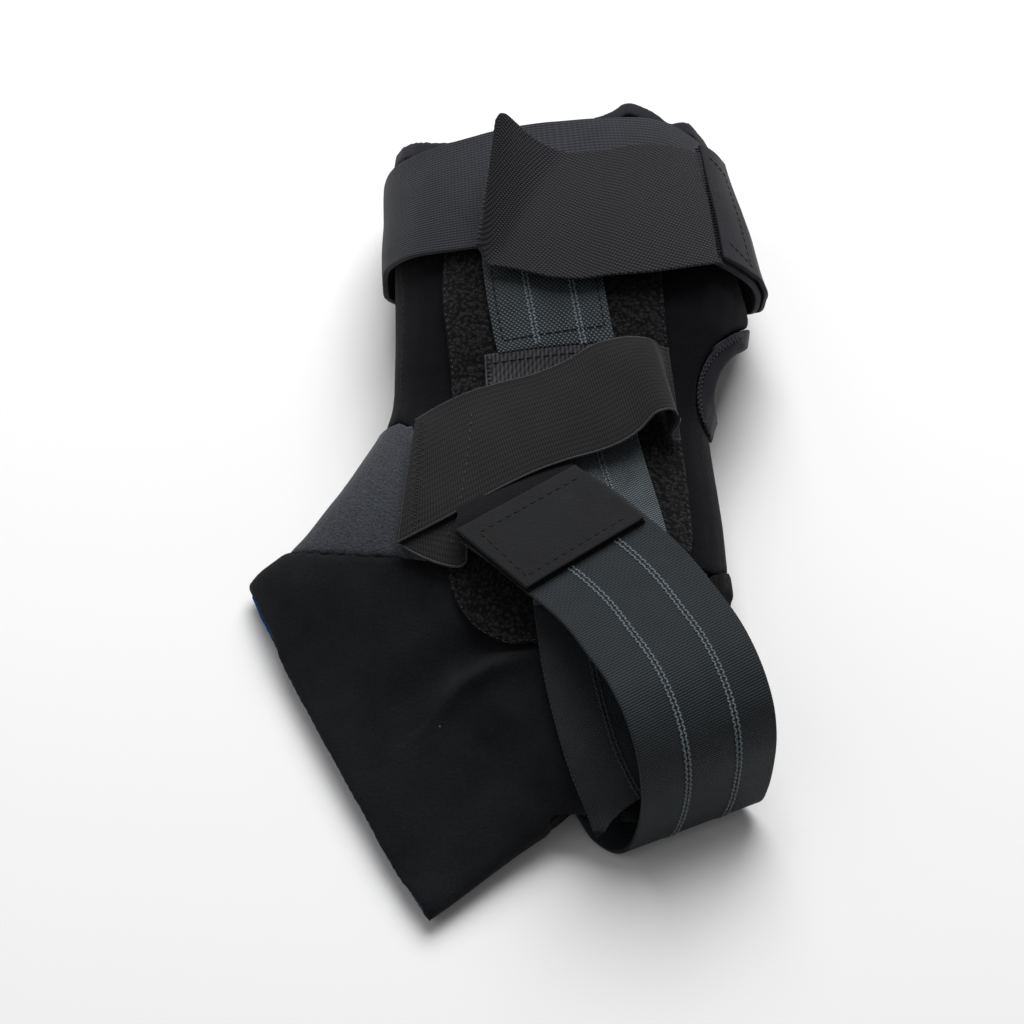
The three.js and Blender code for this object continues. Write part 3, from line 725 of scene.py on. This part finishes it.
FLAP_EDGES = [
    (-5.2, 102.9, 87.1, -9.8, 69.3, 69.3), (-3.8, 104.4, 88.2, -9.2, 68.1, 67.2),
    (-1.8, 105.0, 87.4, -7.4, 64.9, 64.8), (0.9, 104.7, 83.8, -4.2, 64.0, 64.6),
    (4.3, 104.7, 78.1, -1.2, 63.3, 64.5), (8.4, 104.1, 73.4, 2.8, 62.2, 64.2),
    (12.7, 103.3, 70.6, 6.4, 61.2, 63.9), (18.6, 102.8, 68.6, 12.5, 59.6, 63.9),
    (28.6, 104.1, 67.6, 21.5, 59.2, 63.9), (37.8, 107.2, 65.6, 30.0, 60.5, 64.1),
    (44.0, 108.5, 64.0, 40.0, 61.8, 63.3), (49.9, 109.2, 62.0, 49.0, 63.9, 62.2),
    (55.0, 109.4, 59.8, 57.0, 66.6, 60.0), (59.5, 109.6, 57.0, 64.0, 69.6, 56.5),
]
# Round the leg from the back: angle, y of the upper edge, y of the lower edge, flare of the lower edge
BAND_EDGES = np.array([
    (0, 116.3, 73.0, 2.2), (30, 117.2, 71.0, 1.8), (60, 119.8, 72.0, 0.8), (90, 116.0, 72.0, 0.0),
    (120, 111.5, 72.0, 0.0), (150, 111.2, 75.0, 0.5), (180, 112.7, 78.8, 0.8), (210, 113.5, 82.0, 0.3),
    (240, 114.0, 82.0, 0.0), (270, 115.0, 81.5, 0.0), (300, 116.0, 81.0, 0.2), (330, 116.5, 79.5, 0.6),
    (360, 116.3, 73.0, 2.2),
])
# The straps in space: centre x, y, z, direction across and rise across
LOOP = [
    (3.3, -10.2, 50.7, 32, 0), (12.8, -17.3, 50.7, 33, 0), (21.6, -25.5, 51.1, 33, 0),
    (28.9, -32.6, 52.1, 32, -1), (35.3, -40.3, 53.2, 30, -2), (41.0, -49.0, 54.2, 29, -2),
    (46.6, -57.6, 54.6, 29, -2), (51.0, -66.3, 53.8, 29, -1), (54.4, -74.7, 50.7, 28, 1),
    (56.6, -82.1, 45.4, 26, 3), (57.7, -87.5, 35.8, 25, 4), (57.6, -91.0, 23.5, 24, 4),
    (56.4, -93.6, 12.3, 22, 3), (54.3, -94.9, 5.6, 21, 1), (49.8, -93.4, 2.4, 24, 0),
    (43.5, -88.1, 3.0, 29, 0), (38.2, -81.0, 6.0, 34, -1), (33.5, -72.9, 8.4, 37, 0),
    (27.1, -63.8, 7.8, 39, 0), (20.5, -54.3, 6.6, 41, 0),
]
TAB = [(1.0, -8.9, 50.7, 31, 0), (8.0, -14.8, 50.7, 32, 0), (15.3, -21.2, 50.6, 33, 0),
       (21.8, -27.0, 50.4, 33, 0)]
WEBBING_WIDTH = 44
UPPER_WEBBING_WIDTH = 36
TAPE_WIDTH = 38.5
TAB_WIDTH = 42
# Lines of the plan along the seams between foot, gusset and leg
FOOT_SEAM = [
    (-100.0, -2.0), (-65.9, -12.0), (-49.0, -16.6), (-33.9, -19.4), (-20.0, -22.4), (20.0, -24.0),
    (90.0, -24.0),
]
GUSSET_EDGE = [
    (-65.6, 30.1), (-37.6, 26.5), (-33.0, 25.0), (-29.5, 20.9), (-27.1, 9.9), (-24.9, -6.1),
    (-23.9, -31.9),
]
# How near a point is to a seam that draws it, and how far it is drawn
SEAM_REACH = 3
SEAM_PULL = 1.0
# The toe's edge: where it starts, its direction and its length
TOE_START = (-82.0, -17.1)
TOE_ALONG = (0.478, -0.878)
TOE_LENGTH = 121.6
# Shares along the toe's edge where its walls begin and end to close
TOE_CLOSING = (0.14, 0.26)
TOE_OPENING = (0.84, 1.0)
# The crease in the foot, the height of its ridge and the depth of the dent beside it
CREASE = [(9.0, -51.7), (-1.0, -53.2), (-7.5, -55.3), (-15.3, -58.9), (-22.5, -64.7)]
CREASE_HEIGHT = 3.6
DENT_DEPTH = 3.2
# The notch at the back, its tilt, and the stitches round it, which stop at a margin from the edge
NOTCH_CENTRE = (80.0, 33.2, 39.2)
NOTCH_TILT = 25
NOTCH_STITCH_RADIUS = 22.2
NOTCH_STITCH_ANGLES = (95, 265)
NOTCH_STITCH_MARGIN = 1.5
OVERLOCK_FACE = 0.9
# The seam down the leg's front: its first and last section, and its angle round them
FRONT_SEAM_PLACES = (2.9, 6.2)
FRONT_SEAM_ANGLE = 160
# Upper left corner to lower left corner of the band's hook tab, its upper and lower y, and the
# angle below the side at which it ends
HOOK_LEFT = np.array([(59.0, 110.7), (61.3, 95.0), (63.7, 80.7), (65.5, 73.5)])
HOOK_TOP = 112.5
HOOK_BOTTOM = 72.5
HOOK_END_ANGLE = 24
# The sections 0 to 4 are at these y on the leg
SECTION_HEIGHTS = (131.0, 118.5, 98.0, 78.5, 60.5)
# The heel strap's two stripes as shares of its width
STRIPES = (0.34, 0.715)
# How many sections the toe lining reaches back, and how far it stands back where the toe is shut
TOE_LINING_REACH = 1.9
TOE_LINING_RECESS = 4.0
# The height of the band's unevenness, and how far its upper edge is drawn in at the back
BAND_RIPPLE = 0.7
BAND_TUCK = 2.2
# The height of the object's middle, and the camera's rise and lens
MIDDLE_HEIGHT = 25
CAMERA_RISE = 65
CAMERA_LENS = 100
# A chain stitch: its pitch, its length, width and height, and the rows that make its links
CHAIN = (2.1, (1.7, 0.78, 0.5),
         ((-0.62, 32, 0.0), (-0.62, -32, 0.5), (0.62, -32, 0.0), (0.62, 32, 0.5)))

upper_webbing_face, upper_webbing_size = laid_strap(UPPER_WEBBING, UPPER_WEBBING_WIDTH, WEBBING_FACE)
tape_face, tape_size = laid_strap(TAPE, TAPE_WIDTH, WEBBING_FACE - 0.3)
side_webbing_face, side_webbing_size = laid_strap(SIDE_WEBBING, WEBBING_WIDTH, WEBBING_FACE)
elastic_face, elastic_size = spanned_strap(ELASTIC_EDGES, ELASTIC_FACE, 1.0)
under_face, under_size = spanned_strap(UNDER_EDGES, 4.0, 0.6)
flap_face, flap_size = spanned_strap(FLAP_EDGES, FLAP_FACE, 0.0, FLAP_SIDE_FACE)
loop_face, loop_size = free_strap(LOOP, WEBBING_WIDTH, 0.8)
tab_face, tab_size = free_strap(TAB, TAB_WIDTH, 4.3)


def ankle_part(u, v):
    """The side webbing's upper half."""
    return side_webbing_face(0.5 * u, v)


def heel_part(u, v):
    """The side webbing's lower half, which runs down to the heel."""
    return side_webbing_face(0.5 + 0.5 * u, v)


def loop_outside(point):
    """Outwards from the strap loop: up at its top, down the back and down at its fold."""
    return point - Vector((30.0, -52.0, 26.0))


def pile_face(u, v):
    """The pile panel's face, with its curls, thinner at both edges."""
    row = between(PILE_ROWS, u * (len(PILE_ROWS) - 1))
    x, y = row[0] * (1 - v) + row[2] * v, row[1] * (1 - v) + row[3] * v
    curl = 0.28 * waves(x, y, 0.9) + 0.2 * waves(x + 40, y, 2.2)
    edge = min(v, 1 - v, 0.08) / 0.08
    return Vector((x, y, near_height(x, y, PILE_FACE - 0.5 + 0.5 * edge) + curl * edge))


def band_place(y):
    """The section number at a height up the leg."""
    return float(np.interp(-y, [-height for height in SECTION_HEIGHTS], (0, 1, 2, 3, 4)))


def band_face(u, v):
    """The calf band's face: u down the leg and v round it."""
    angle = 2 * math.pi * v
    row = between(BAND_EDGES, v * (len(BAND_EDGES) - 1))
    y = row[1] * (1 - u) + row[2] * u
    flare = row[3] * step(0.35, 1.0, u)
    ripple = BAND_RIPPLE * waves(40 * math.cos(angle), y, 14, 40 * math.sin(angle))
    out = ripple * (1 if math.sin(angle) > -0.2 else 0)
    flare -= BAND_TUCK * max(math.cos(angle), 0) * (1 - step(0, 0.5, u))
    return sleeve_point(band_place(y), angle, BAND_SIDE_FACE + flare + out, BAND_FACE + out, BAND_SIDE_FACE)


def hook_tab_face(u, v):
    """The hook tab's face: u down the leg and v round its back."""
    left = between(HOOK_LEFT, u * (len(HOOK_LEFT) - 1))
    low = HOOK_BOTTOM - 1.0 * math.sin(math.pi * v) + 7.0 * step(0.45, 1.0, v)
    place = band_place(HOOK_TOP * (1 - u) + low * u)
    mx, my, ax, ay, half = section(place)[:5]
    start = math.acos(min(((left[0] - mx) / (half + FLAP_SIDE_FACE)) ** (DOME_POWER / 2), 1))
    angle = start * (1 - v) - math.radians(HOOK_END_ANGLE) * v
    ridge = 0.35 * math.exp(-((v - 0.33) / 0.05) ** 2)
    flare = (1.4 * u * u - 2.6 * (1 - step(0, 0.6, u))) * step(0.0, 0.5, v)
    side = FLAP_SIDE_FACE + 0.6 + ridge + flare
    return sleeve_point(place, angle, side, FLAP_FACE + 1.0 + ridge, FLAP_SIDE_FACE)


def leg_axis(point):
    """Outwards from the leg's middle line."""
    return point - Vector((17.0, point.y, 32.0))


def notch_edge():
    """Points and normals round the back notch's edge, on the near side."""
    def high(x, y):
        return near_height(x, y, OVERLOCK_FACE)

    path = []
    for angle in np.linspace(*NOTCH_STITCH_ANGLES, 90):
        turn = math.radians(angle)
        x = NOTCH_CENTRE[0] + NOTCH_STITCH_RADIUS * math.cos(turn)
        z = NOTCH_CENTRE[2]
        for _ in range(6):
            y = (NOTCH_CENTRE[1] + NOTCH_STITCH_RADIUS * math.sin(turn)
                 + (NOTCH_CENTRE[2] - z) * math.tan(math.radians(NOTCH_TILT)))
            z = (z + high(x, y)) / 2
        mx, my, ax, ay, half = section(section_at(x, y))[:5]
        if (x - mx) * ax + (y - my) * ay <= half - NOTCH_STITCH_MARGIN:
            slope = Vector((z - high(x + SMALL_STEP, y), z - high(x, y + SMALL_STEP), SMALL_STEP))
            path.append((Vector((x, y, high(x, y))), slope.normalized()))
    return path


def front_seam():
    """Points and normals down the front of the leg."""
    path = []
    for place in np.linspace(*FRONT_SEAM_PLACES, 120):
        angle = math.radians(FRONT_SEAM_ANGLE)
        point = sleeve_point(place, angle, 0.0, 0.0, 0.0)
        path.append((point, (sleeve_point(place, angle, 1.2, 1.2, 1.2) - point).normalized()))
    return path


# Shapes of the soft walls
def nearest_on(points, x, y):
    """Distance to a line of plan points, and the share along it."""
    best = (1e9, 0.0, 0.0)
    for k, ((x0, y0), (x1, y1)) in enumerate(zip(points, points[1:])):
        dx, dy = x1 - x0, y1 - y0
        t = min(max(((x - x0) * dx + (y - y0) * dy) / (dx * dx + dy * dy), 0), 1)
        px, py = x0 + dx * t, y0 + dy * t
        distance = math.hypot(x - px, y - py)
        if distance < best[0]:
            side = math.copysign(1, dx * (y - y0) - dy * (x - x0))
            best = (distance, (k + t) / (len(points) - 1), side)
    return best


def close_seam(p, line):
    """Draws a point next to a seam towards it, so that the two cloths meet."""
    distance, share, side = nearest_on(line, p.x, p.y)
    if distance < SEAM_REACH:
        k = int(share * (len(line) - 1) - 1e-9)
        here, after = line[k], line[k + 1]
        length = math.hypot(after[0] - here[0], after[1] - here[1])
        pull = side * SEAM_PULL * (1 - distance / SEAM_REACH) ** 2
        p.x += pull * (after[1] - here[1]) / length
        p.y -= pull * (after[0] - here[0]) / length
    return p


def shape_toe(p, near, recess=0.0):
    """Bows the toe edge outwards, and closes its near wall over the far one but for its upper end."""
    dx, dy = p.x - TOE_START[0], p.y - TOE_START[1]
    share = min(max((dx * TOE_ALONG[0] + dy * TOE_ALONG[1]) / TOE_LENGTH, 0), 1)
    inside = dy * TOE_ALONG[0] - dx * TOE_ALONG[1]
    fade = 1 - step(2, 34, inside)
    closed = step(*TOE_CLOSING, share) * (1 - step(*TOE_OPENING, share))
    bow = 1.5 - 0.8 * (1 - step(0.0, 0.12, share)) + 0.5 * math.sin(math.pi * share)
    out = (bow - recess * closed) * fade
    if near:
        shut = closed * (1 - step(0, 26, inside))
        out += 1.7 * shut
        p.z -= 3.0 * shut
    along = (1.0 * step(0.6, 1.0, share) - 0.9 * (1 - step(0.0, 0.3, share))) * fade
    p.x += out * TOE_ALONG[1] + along * TOE_ALONG[0]
    p.y += -out * TOE_ALONG[0] + along * TOE_ALONG[1]
    return p


def shape_gusset(p, near):
    """The gusset bulges a little at the front of the instep."""
    mx, my, ax, ay, half = section(section_at(p.x, p.y))[:5]
    p.x -= 1.1 * (1 - step(0, 14, p.x - mx + half))
    return close_seam(close_seam(p, FOOT_SEAM), GUSSET_EDGE)


def shape_foot(p, near):
    """The foot's near wall: a soft crease with a dent above it, and slight unevenness."""
    p = shape_toe(close_seam(p, FOOT_SEAM), near)
    soft = 0.5 * waves(p.x, p.y, 22, p.z) + 0.16 * waves(p.x, p.y, 7, p.z)
    if near:
        distance, share, side = nearest_on(CREASE, p.x, p.y)
        strength = math.sin(math.pi * min(max(share, 0.06), 0.94)) ** 0.7
        ridge = CREASE_HEIGHT * math.exp(-(distance / 3.2) ** 2)
        dent = DENT_DEPTH * math.exp(-((distance - 8) / 6.0) ** 2) if side < 0 else 0.0
        p.z += (ridge - dent) * strength + soft * step(6, 14, p.z)
    return p


def shape_top(p, near):
    """Raises the folds of the leg's top edge."""
    high = step(104, 119, p.y) * step(12, 26, p.z)
    wide = 3.3 * math.exp(-((p.x - 41.5) / 8) ** 4)
    narrow = 3.4 * math.exp(-((p.x - 56.0) / 4.5) ** 2)
    p.y += high * (wide + narrow)
    return p


def shape_heel_tape(p, near):
    """Tucks the tape's far end in behind the sole edge."""
    if p.z < 14 and p.x < 26:
        p.y = max(p.y, -93 + (p.x - 17) * 1.0)
    p.x -= 1.7 * (1 - step(20, 30, p.x)) * (1 - step(10, 18, p.z))
    return p


def shape_leg(p, near):
    """The leg's walls meet their neighbours at the seams, and the near one is slightly uneven."""
    p = close_seam(close_seam(shape_top(p, near), FOOT_SEAM), GUSSET_EDGE)
    soft = 0.5 * waves(p.x, p.y, 18, p.z) + 0.15 * waves(p.x, p.y, 6, p.z)
    if near:
        p.z += soft
    return p


# Settings
def colour_setting(name, description, code):
    return FloatVectorProperty(name=name, description=description, default=linear(code),
                               subtype="COLOR", size=3, min=0, max=1)


class AnkleSupportSettings(bpy.types.PropertyGroup):
    leg_colour: colour_setting("Leg cloth", "The leg's cloth where its nap is lightest", "#17161b")
    foot_colour: colour_setting("Foot cloth", "The foot's cloth where its nap is lightest", "#232428")
    gusset_colour: colour_setting("Gusset", "The instep knit's lighter yarn", "#43464d")
    lining_colour: colour_setting("Lining", "The lining's blue", "#0d5a9c")
    webbing_colour: colour_setting("Webbing", "The heel strap's rib tops", "#363c40")
    band_colour: colour_setting("Calf band", "The band's lighter yarn", "#393a40")
    stitch_length: FloatProperty(name="Stitch length", description="The length of a lockstitch",
                                 unit="LENGTH", min=0.0005, max=0.006, default=0.0025)
    camera_distance: FloatProperty(name="Camera distance", description="From the camera to the middle",
                                   unit="LENGTH", min=0.3, max=3.0, default=0.88)


# Operators
class SleeveOperator(bpy.types.Operator):
    """Makes the leg, instep and foot walls of the sleeve"""
    bl_idname = "ankle_support.sleeve"
    bl_label = "Sleeve"

    def execute(self, context):
        make_finishes(context.scene.ankle_support)
        for name, node, voxel, finish, slot, shape, width in (
            ("leg_cloth", "leg_sleeve", 1.3, "leg", "sleeve_cloth", shape_leg, 0.26),
            ("gusset_knit", "instep_gusset", 1.1, "gusset", "gusset_knit", shape_gusset, 0.11),
            ("foot_cloth", "foot_sleeve", 1.3, "foot", "foot_cloth", shape_foot, 0.25),
        ):
            both = [finishes[finish], finishes["lining"]]
            soft_wall(name, node, voxel, 5, both, shape, True)
        return {"FINISHED"}


class LiningOperator(bpy.types.Operator):
    """Makes the lining that shows in the toe opening"""
    bl_idname = "ankle_support.lining"
    bl_label = "Toe lining"

    def execute(self, context):
        inside = SLEEVE_WALL + 0.2

        def face(u, v):
            lift = 0.5 * step(0.93, 1.0, u) - 0.6 - inside
            p = sleeve_point(LAST - TOE_LINING_REACH * (1 - u), 2 * math.pi * v, lift, lift, lift)
            p = shape_toe(p, False, TOE_LINING_RECESS)
            p.x += 0.6
            p.y += 0.3
            p.z += 0.2 * waves(p.x, p.y, 5)
            return p

        def outward(p):
            return Vector((0, 0, 1 if p.z > 9 else -1))

        piece = cloth_sheet("toe_lining", face, (190.0, 24.0), (160, 26), 0.8, finishes["lining"],
                            ["foot_lining"], outward, True)
        return {"FINISHED"}


class BindingsOperator(bpy.types.Operator):
    """Makes the bound edges of the leg, heel and back notch"""
    bl_idname = "ankle_support.bindings"
    bl_label = "Bound edges"

    def execute(self, context):
        for name, node, shape, finish in (
            ("top_tape", "top_binding", shape_top, "binding"),
            ("heel_tape", "heel_binding", shape_heel_tape, "heel_tape"),
            ("notch_tape", "notch_binding", None, "binding"),
        ):
            soft_wall(name, node, 0.85, 4, [finishes[finish]], shape)
        return {"FINISHED"}


class PilePanelOperator(bpy.types.Operator):
    """Makes the loop pile panel on the near side"""
    bl_idname = "ankle_support.pile_panel"
    bl_label = "Pile panel"

    def execute(self, context):
        piece = cloth_sheet("pile_panel", pile_face, (70.0, 160.0), (130, 290), 1.4, finishes["pile"],
                            ["side_pile_panel"])
        return {"FINISHED"}


class WebbingOperator(bpy.types.Operator):
    """Makes the webbing and tape that lie on the near side"""
    bl_idname = "ankle_support.webbing"
    bl_label = "Side webbing"

    def execute(self, context):
        for name, node, face, size, part, cells, finish in (
            ("leg_webbing", "upper_webbing", upper_webbing_face, upper_webbing_size, 1, (24, 60), "mesh"),
            ("seam_tape", "ribbed_tape", tape_face, tape_size, 1, (24, 24), "tape"),
            # The ankle webbing takes the open weave's lighter copy, painted light where the elastic strap
            # shades it.
            ("ankle_webbing", "side_webbing", ankle_part, side_webbing_size, 0.5, (30, 50), "open_mesh"),
            ("heel_webbing", "side_webbing", heel_part, side_webbing_size, 0.5, (30, 60), "webbing"),
        ):
            piece = cloth_sheet(name, face, size, cells, 1.5, finishes[finish], [node])
        return {"FINISHED"}


class ElasticOperator(bpy.types.Operator):
    """Makes the elastic strap across the ankle, with its second layer and its edge cords"""
    bl_idname = "ankle_support.elastic"
    bl_label = "Elastic strap"

    def execute(self, context):
        top = cloth_sheet("elastic_strap_cloth", elastic_face, elastic_size, (36, 150), 1.1,
                          finishes["elastic"], ["elastic_strap"])
        under = cloth_sheet("elastic_second_layer", under_face, under_size, (28, 36), 1.1,
                            finishes["elastic"], ["elastic_under_layer"])
        cords = [
            edge_cord("elastic_selvedge_" + name, path_on(face, turns, count, -0.25), 0.4,
                      finishes["selvedge"])
            for name, face, turns, count in (
                ("upper", elastic_face, lengthwise(0.004), 140),
                ("lower", elastic_face, lengthwise(0.996), 140),
                ("layer", under_face, lengthwise(0.99), 140),
                ("end", under_face, [(1, 1), (1, 0.3)], 24),
            )
        ]
        return {"FINISHED"}


class BandOperator(bpy.types.Operator):
    """Makes the calf band"""
    bl_idname = "ankle_support.band"
    bl_label = "Calf band"

    def execute(self, context):
        piece = cloth_sheet("calf_band_cloth", band_face, (300.0, 40.0), (260, 46), 1.9, finishes["band"],
                            ["calf_band"], leg_axis, True)
        return {"FINISHED"}


class FlapOperator(bpy.types.Operator):
    """Makes the twill flap of the calf band"""
    bl_idname = "ankle_support.flap"
    bl_label = "Band flap"

    def execute(self, context):
        piece = cloth_sheet("band_flap_twill", flap_face, flap_size, (60, 110), 1.4, finishes["twill"],
                            ["band_flap"])
        return {"FINISHED"}


class HookTabOperator(bpy.types.Operator):
    """Makes the hook tab that closes the calf band"""
    bl_idname = "ankle_support.hook_tab"
    bl_label = "Band hook tab"

    def execute(self, context):
        piece = cloth_sheet("band_hook_tab_cloth", hook_tab_face, (34.0, 42.0), (60, 60), 1.4,
                            finishes["side_tab"], ["band_hook_tab"], leg_axis)
        sew_piece("band_hook_teeth", "hooks", [
            seam(hook_tab_face, lengthwise(0.0, 0.03, 0.97), 60, -0.9, 1.0, (0.55, 1.1, 0.9),
                 ((-0.5, 8, 0.0), (-1.5, -8, 0.5)), leg_axis),
        ])
        return {"FINISHED"}


class LoopOperator(bpy.types.Operator):
    """Makes the free loop of the heel strap"""
    bl_idname = "ankle_support.heel_loop"
    bl_label = "Heel strap loop"

    def execute(self, context):
        piece = cloth_sheet("heel_loop_webbing", loop_face, loop_size, (40, 260), 1.5, finishes["webbing"],
                            ["heel_strap_loop"], loop_outside)
        return {"FINISHED"}


class LoopTabOperator(bpy.types.Operator):
    """Makes the folded hook tab on the end of the heel strap"""
    bl_idname = "ankle_support.loop_tab"
    bl_label = "Loop hook tab"

    def execute(self, context):
        upper = cloth_sheet("loop_tab_cloth", tab_face, tab_size, (48, 34), 1.5, finishes["tab"],
                            ["loop_hook_tab"])
        rows = [(-4.4, -4.6, 48.2, 31, 0)] + [(x + 0.3, y - 0.4, z, a, r) for x, y, z, a, r in TAB]
        lower_face, lower_size = free_strap(rows, TAB_WIDTH + 0.6, 2.6)

        def narrowed(u, v):
            pull = 0.17 * (1 - step(0.0, 0.25, u))
            return lower_face(u, pull + (1 - pull) * v)

        lower = cloth_sheet("loop_tab_lower_layer", narrowed, lower_size, (48, 44), 1.2,
                            finishes["hook_face"])
        return {"FINISHED"}


class StitchesOperator(bpy.types.Operator):
    """Sews the chain stripes, box stitches, edge seams, zigzag, overlock and front seam"""
    bl_idname = "ankle_support.stitches"
    bl_label = "Stitches"

    def execute(self, context):
        length = context.scene.ankle_support.stitch_length / MM
        box = [(0.4, 0.07), (0.93, 0.07), (0.93, 0.94), (0.4, 0.94)]
        tab_box = [(0.17, 0.93), (0.17, 0.1), (0.88, 0.07), (0.88, 0.95)]
        hook_box = [(0.1, 0.05), (0.17, 0.22), (0.93, 0.25), (0.84, 0.05)]
        dots, dashes, bars = (1.0, 0.35, 0.4), (1.6, 0.4, 0.4), (1.5, 0.5, 0.5)
        zigzag = ((-1.2, 25, 0.0), (1.2, -25, 0.5), (0.0, 62, 0.25), (0.0, -62, 0.75))
        for name, finish, seams in (
            ("chain_stitch_stripes", "pale", [
                *(seam(loop_face, lengthwise(v, 0.08), 220, 0.1, *CHAIN, loop_outside) for v in STRIPES),
                *(seam(upper_webbing_face, lengthwise(v, 0.25), 120, 0.1, *CHAIN) for v in (0.35, 0.73)),
                *(seam(ankle_part, lengthwise(v, 0.02), 120, 0.1, *CHAIN) for v in (0.34, 0.70)),
            ]),
            # The heel webbing's chain stripes and selvedge dots are pale thread drawn in grey: painted
            # shade, where the heel loop shades them.
            ("heel_webbing_stitches_painted_shade", "grey", [
                seam(heel_part, lengthwise(0.34, 0.02), 90, 0.1, *CHAIN),
                seam(heel_part, lengthwise(0.006, 0.02), 90, 0.02, 1.6, (0.7, 0.5, 0.5)),
            ]),
            ("dark_stitches", "black", [
                seam(upper_webbing_face, box, 60, 0.1, 2.6, (length, 0.5, 0.5)),
                seam(tape_face, [(0.13, 0.06), (0.13, 0.95)], 60, 0.1, 2.6, (0.96 * length, 0.45, 0.5)),
                seam(tape_face, lengthwise(0.035, 0.04, 0.9), 40, 0.1, 1.3, bars, ((0.0, 80, 0.0),)),
                seam(tab_face, tab_box, 60, 0.02, 2.9, (0.88 * length, 0.45, 0.4)),
                seam(hook_tab_face, hook_box, 60, 0.08, 2.4, (0.88 * length, 0.4, 0.4), outward=leg_axis),
            ]),
            ("grey_stitches", "grey", [
                *(seam(pile_face, lengthwise(v), 300, 0.2, 2.1, dots) for v in (0.012, 0.988)),
                seam(pile_face, [(0.985, 0), (0.985, 1)], 60, 0.2, 2.1, dots),
                seam(elastic_face, [(0.735, 0.2), (0.835, 0.98)], 80, 0.08, 2.7, dashes),
                seam(under_face, [(0.75, 0.2), (0.8, 0.7)], 30, 0.08, 2.7, dashes),
                seam(flap_face, [(0.0, 0.03), (0.0, 0.97)], 60, -0.5, 1.3, (0.8, 0.5, 0.7)),
            ]),
            ("elastic_end_zigzag", "charcoal", [
                seam(elastic_face, [(0.955, 0.03), (0.955, 0.98)], 100, 0.04, 2.1, (1.3, 0.4, 0.4), zigzag),
            ]),
            ("notch_overlock", "navy", [
                (notch_edge(), 1.5, (2.6, 0.5, 0.5), ((0.2, 58, 0.0), (0.2, -58, 0.5))),
            ]),
            ("front_seam_ridges", "jet", [(front_seam(), 2.2, (1.5, 0.4, 0.3))]),
        ):
            sew_piece(name, finish, seams)
        return {"FINISHED"}


class StageOperator(bpy.types.Operator):
    """Makes the floor, the studio light and the camera"""
    bl_idname = "ankle_support.stage"
    bl_label = "Floor, light and camera"

    def execute(self, context):
        scene = context.scene
        bm = bmesh.new()
        bmesh.ops.create_grid(bm, x_segments=1, y_segments=1, size=4.0)
        paint = Finish("pale_studio_floor", 0.9, 0.0, 0.1)
        paint.shader.inputs["Base Color"].default_value = tone_of("#f9f9f9")
        mesh_object("floor", bm, [paint.material])

        world = bpy.data.worlds.new("Studio")
        world.use_nodes = True
        sky = world.node_tree.nodes["Background"]
        sky.inputs[0].default_value = (1, 1, 1, 1)
        sky.inputs[1].default_value = 0.15
        scene.world = world
        middle = to_frame((0, 0, MIDDLE_HEIGHT))
        for name, offset, size, power in (
            ("key", (0.15, 1.1, 1.35), 1.2, 37.0),
            ("fill", (-1.0, 0.3, 1.3), 1.8, 4.0),
        ):
            lamp = bpy.data.lights.new(name, "AREA")
            lamp.size = size
            lamp.energy = power
            made = add_object(name, lamp)
            made.location = middle + Vector(offset)
            made.rotation_euler = (-Vector(offset)).to_track_quat("-Z", "Y").to_euler()
        scene.view_settings.view_transform = "Standard"

        lens = bpy.data.cameras.new("camera")
        lens.lens = CAMERA_LENS
        lens.sensor_width = 36
        lens.clip_start = 0.05
        camera = add_object("camera", lens)
        rise = math.radians(CAMERA_RISE)
        back = Vector((0, -math.cos(rise), math.sin(rise)))
        camera.location = middle + back * scene.ankle_support.camera_distance
        camera.rotation_euler = back.to_track_quat("Z", "Y").to_euler()
        scene.camera = camera
        return {"FINISHED"}


class AnkleSupportPanel(bpy.types.Panel):
    """Lists the pieces of the ankle support"""
    bl_idname = "VIEW3D_PT_ankle_support"
    bl_label = "Ankle support"
    bl_space_type = "VIEW_3D"
    bl_region_type = "UI"
    bl_category = "Ankle support"

    def draw(self, context):
        settings = context.scene.ankle_support
        for name in AnkleSupportSettings.__annotations__:
            self.layout.prop(settings, name)
        for operator in OPERATORS:
            self.layout.operator(operator.bl_idname)


OPERATORS = (
    SleeveOperator, LiningOperator, BindingsOperator, PilePanelOperator, WebbingOperator,
    ElasticOperator, BandOperator, FlapOperator, HookTabOperator, LoopOperator, LoopTabOperator,
    StitchesOperator, StageOperator,
)
CLASSES = (AnkleSupportSettings, *OPERATORS, AnkleSupportPanel)


def register():
    for cls in CLASSES:
        bpy.utils.register_class(cls)
    bpy.types.Scene.ankle_support = PointerProperty(type=AnkleSupportSettings)


def unregister():
    del bpy.types.Scene.ankle_support
    for cls in reversed(CLASSES):
        bpy.utils.unregister_class(cls)


def main():
    register()
    for operator in OPERATORS:
        group, name = operator.bl_idname.split(".")
        getattr(getattr(bpy.ops, group), name)()


if __name__ == "__main__":
    main()
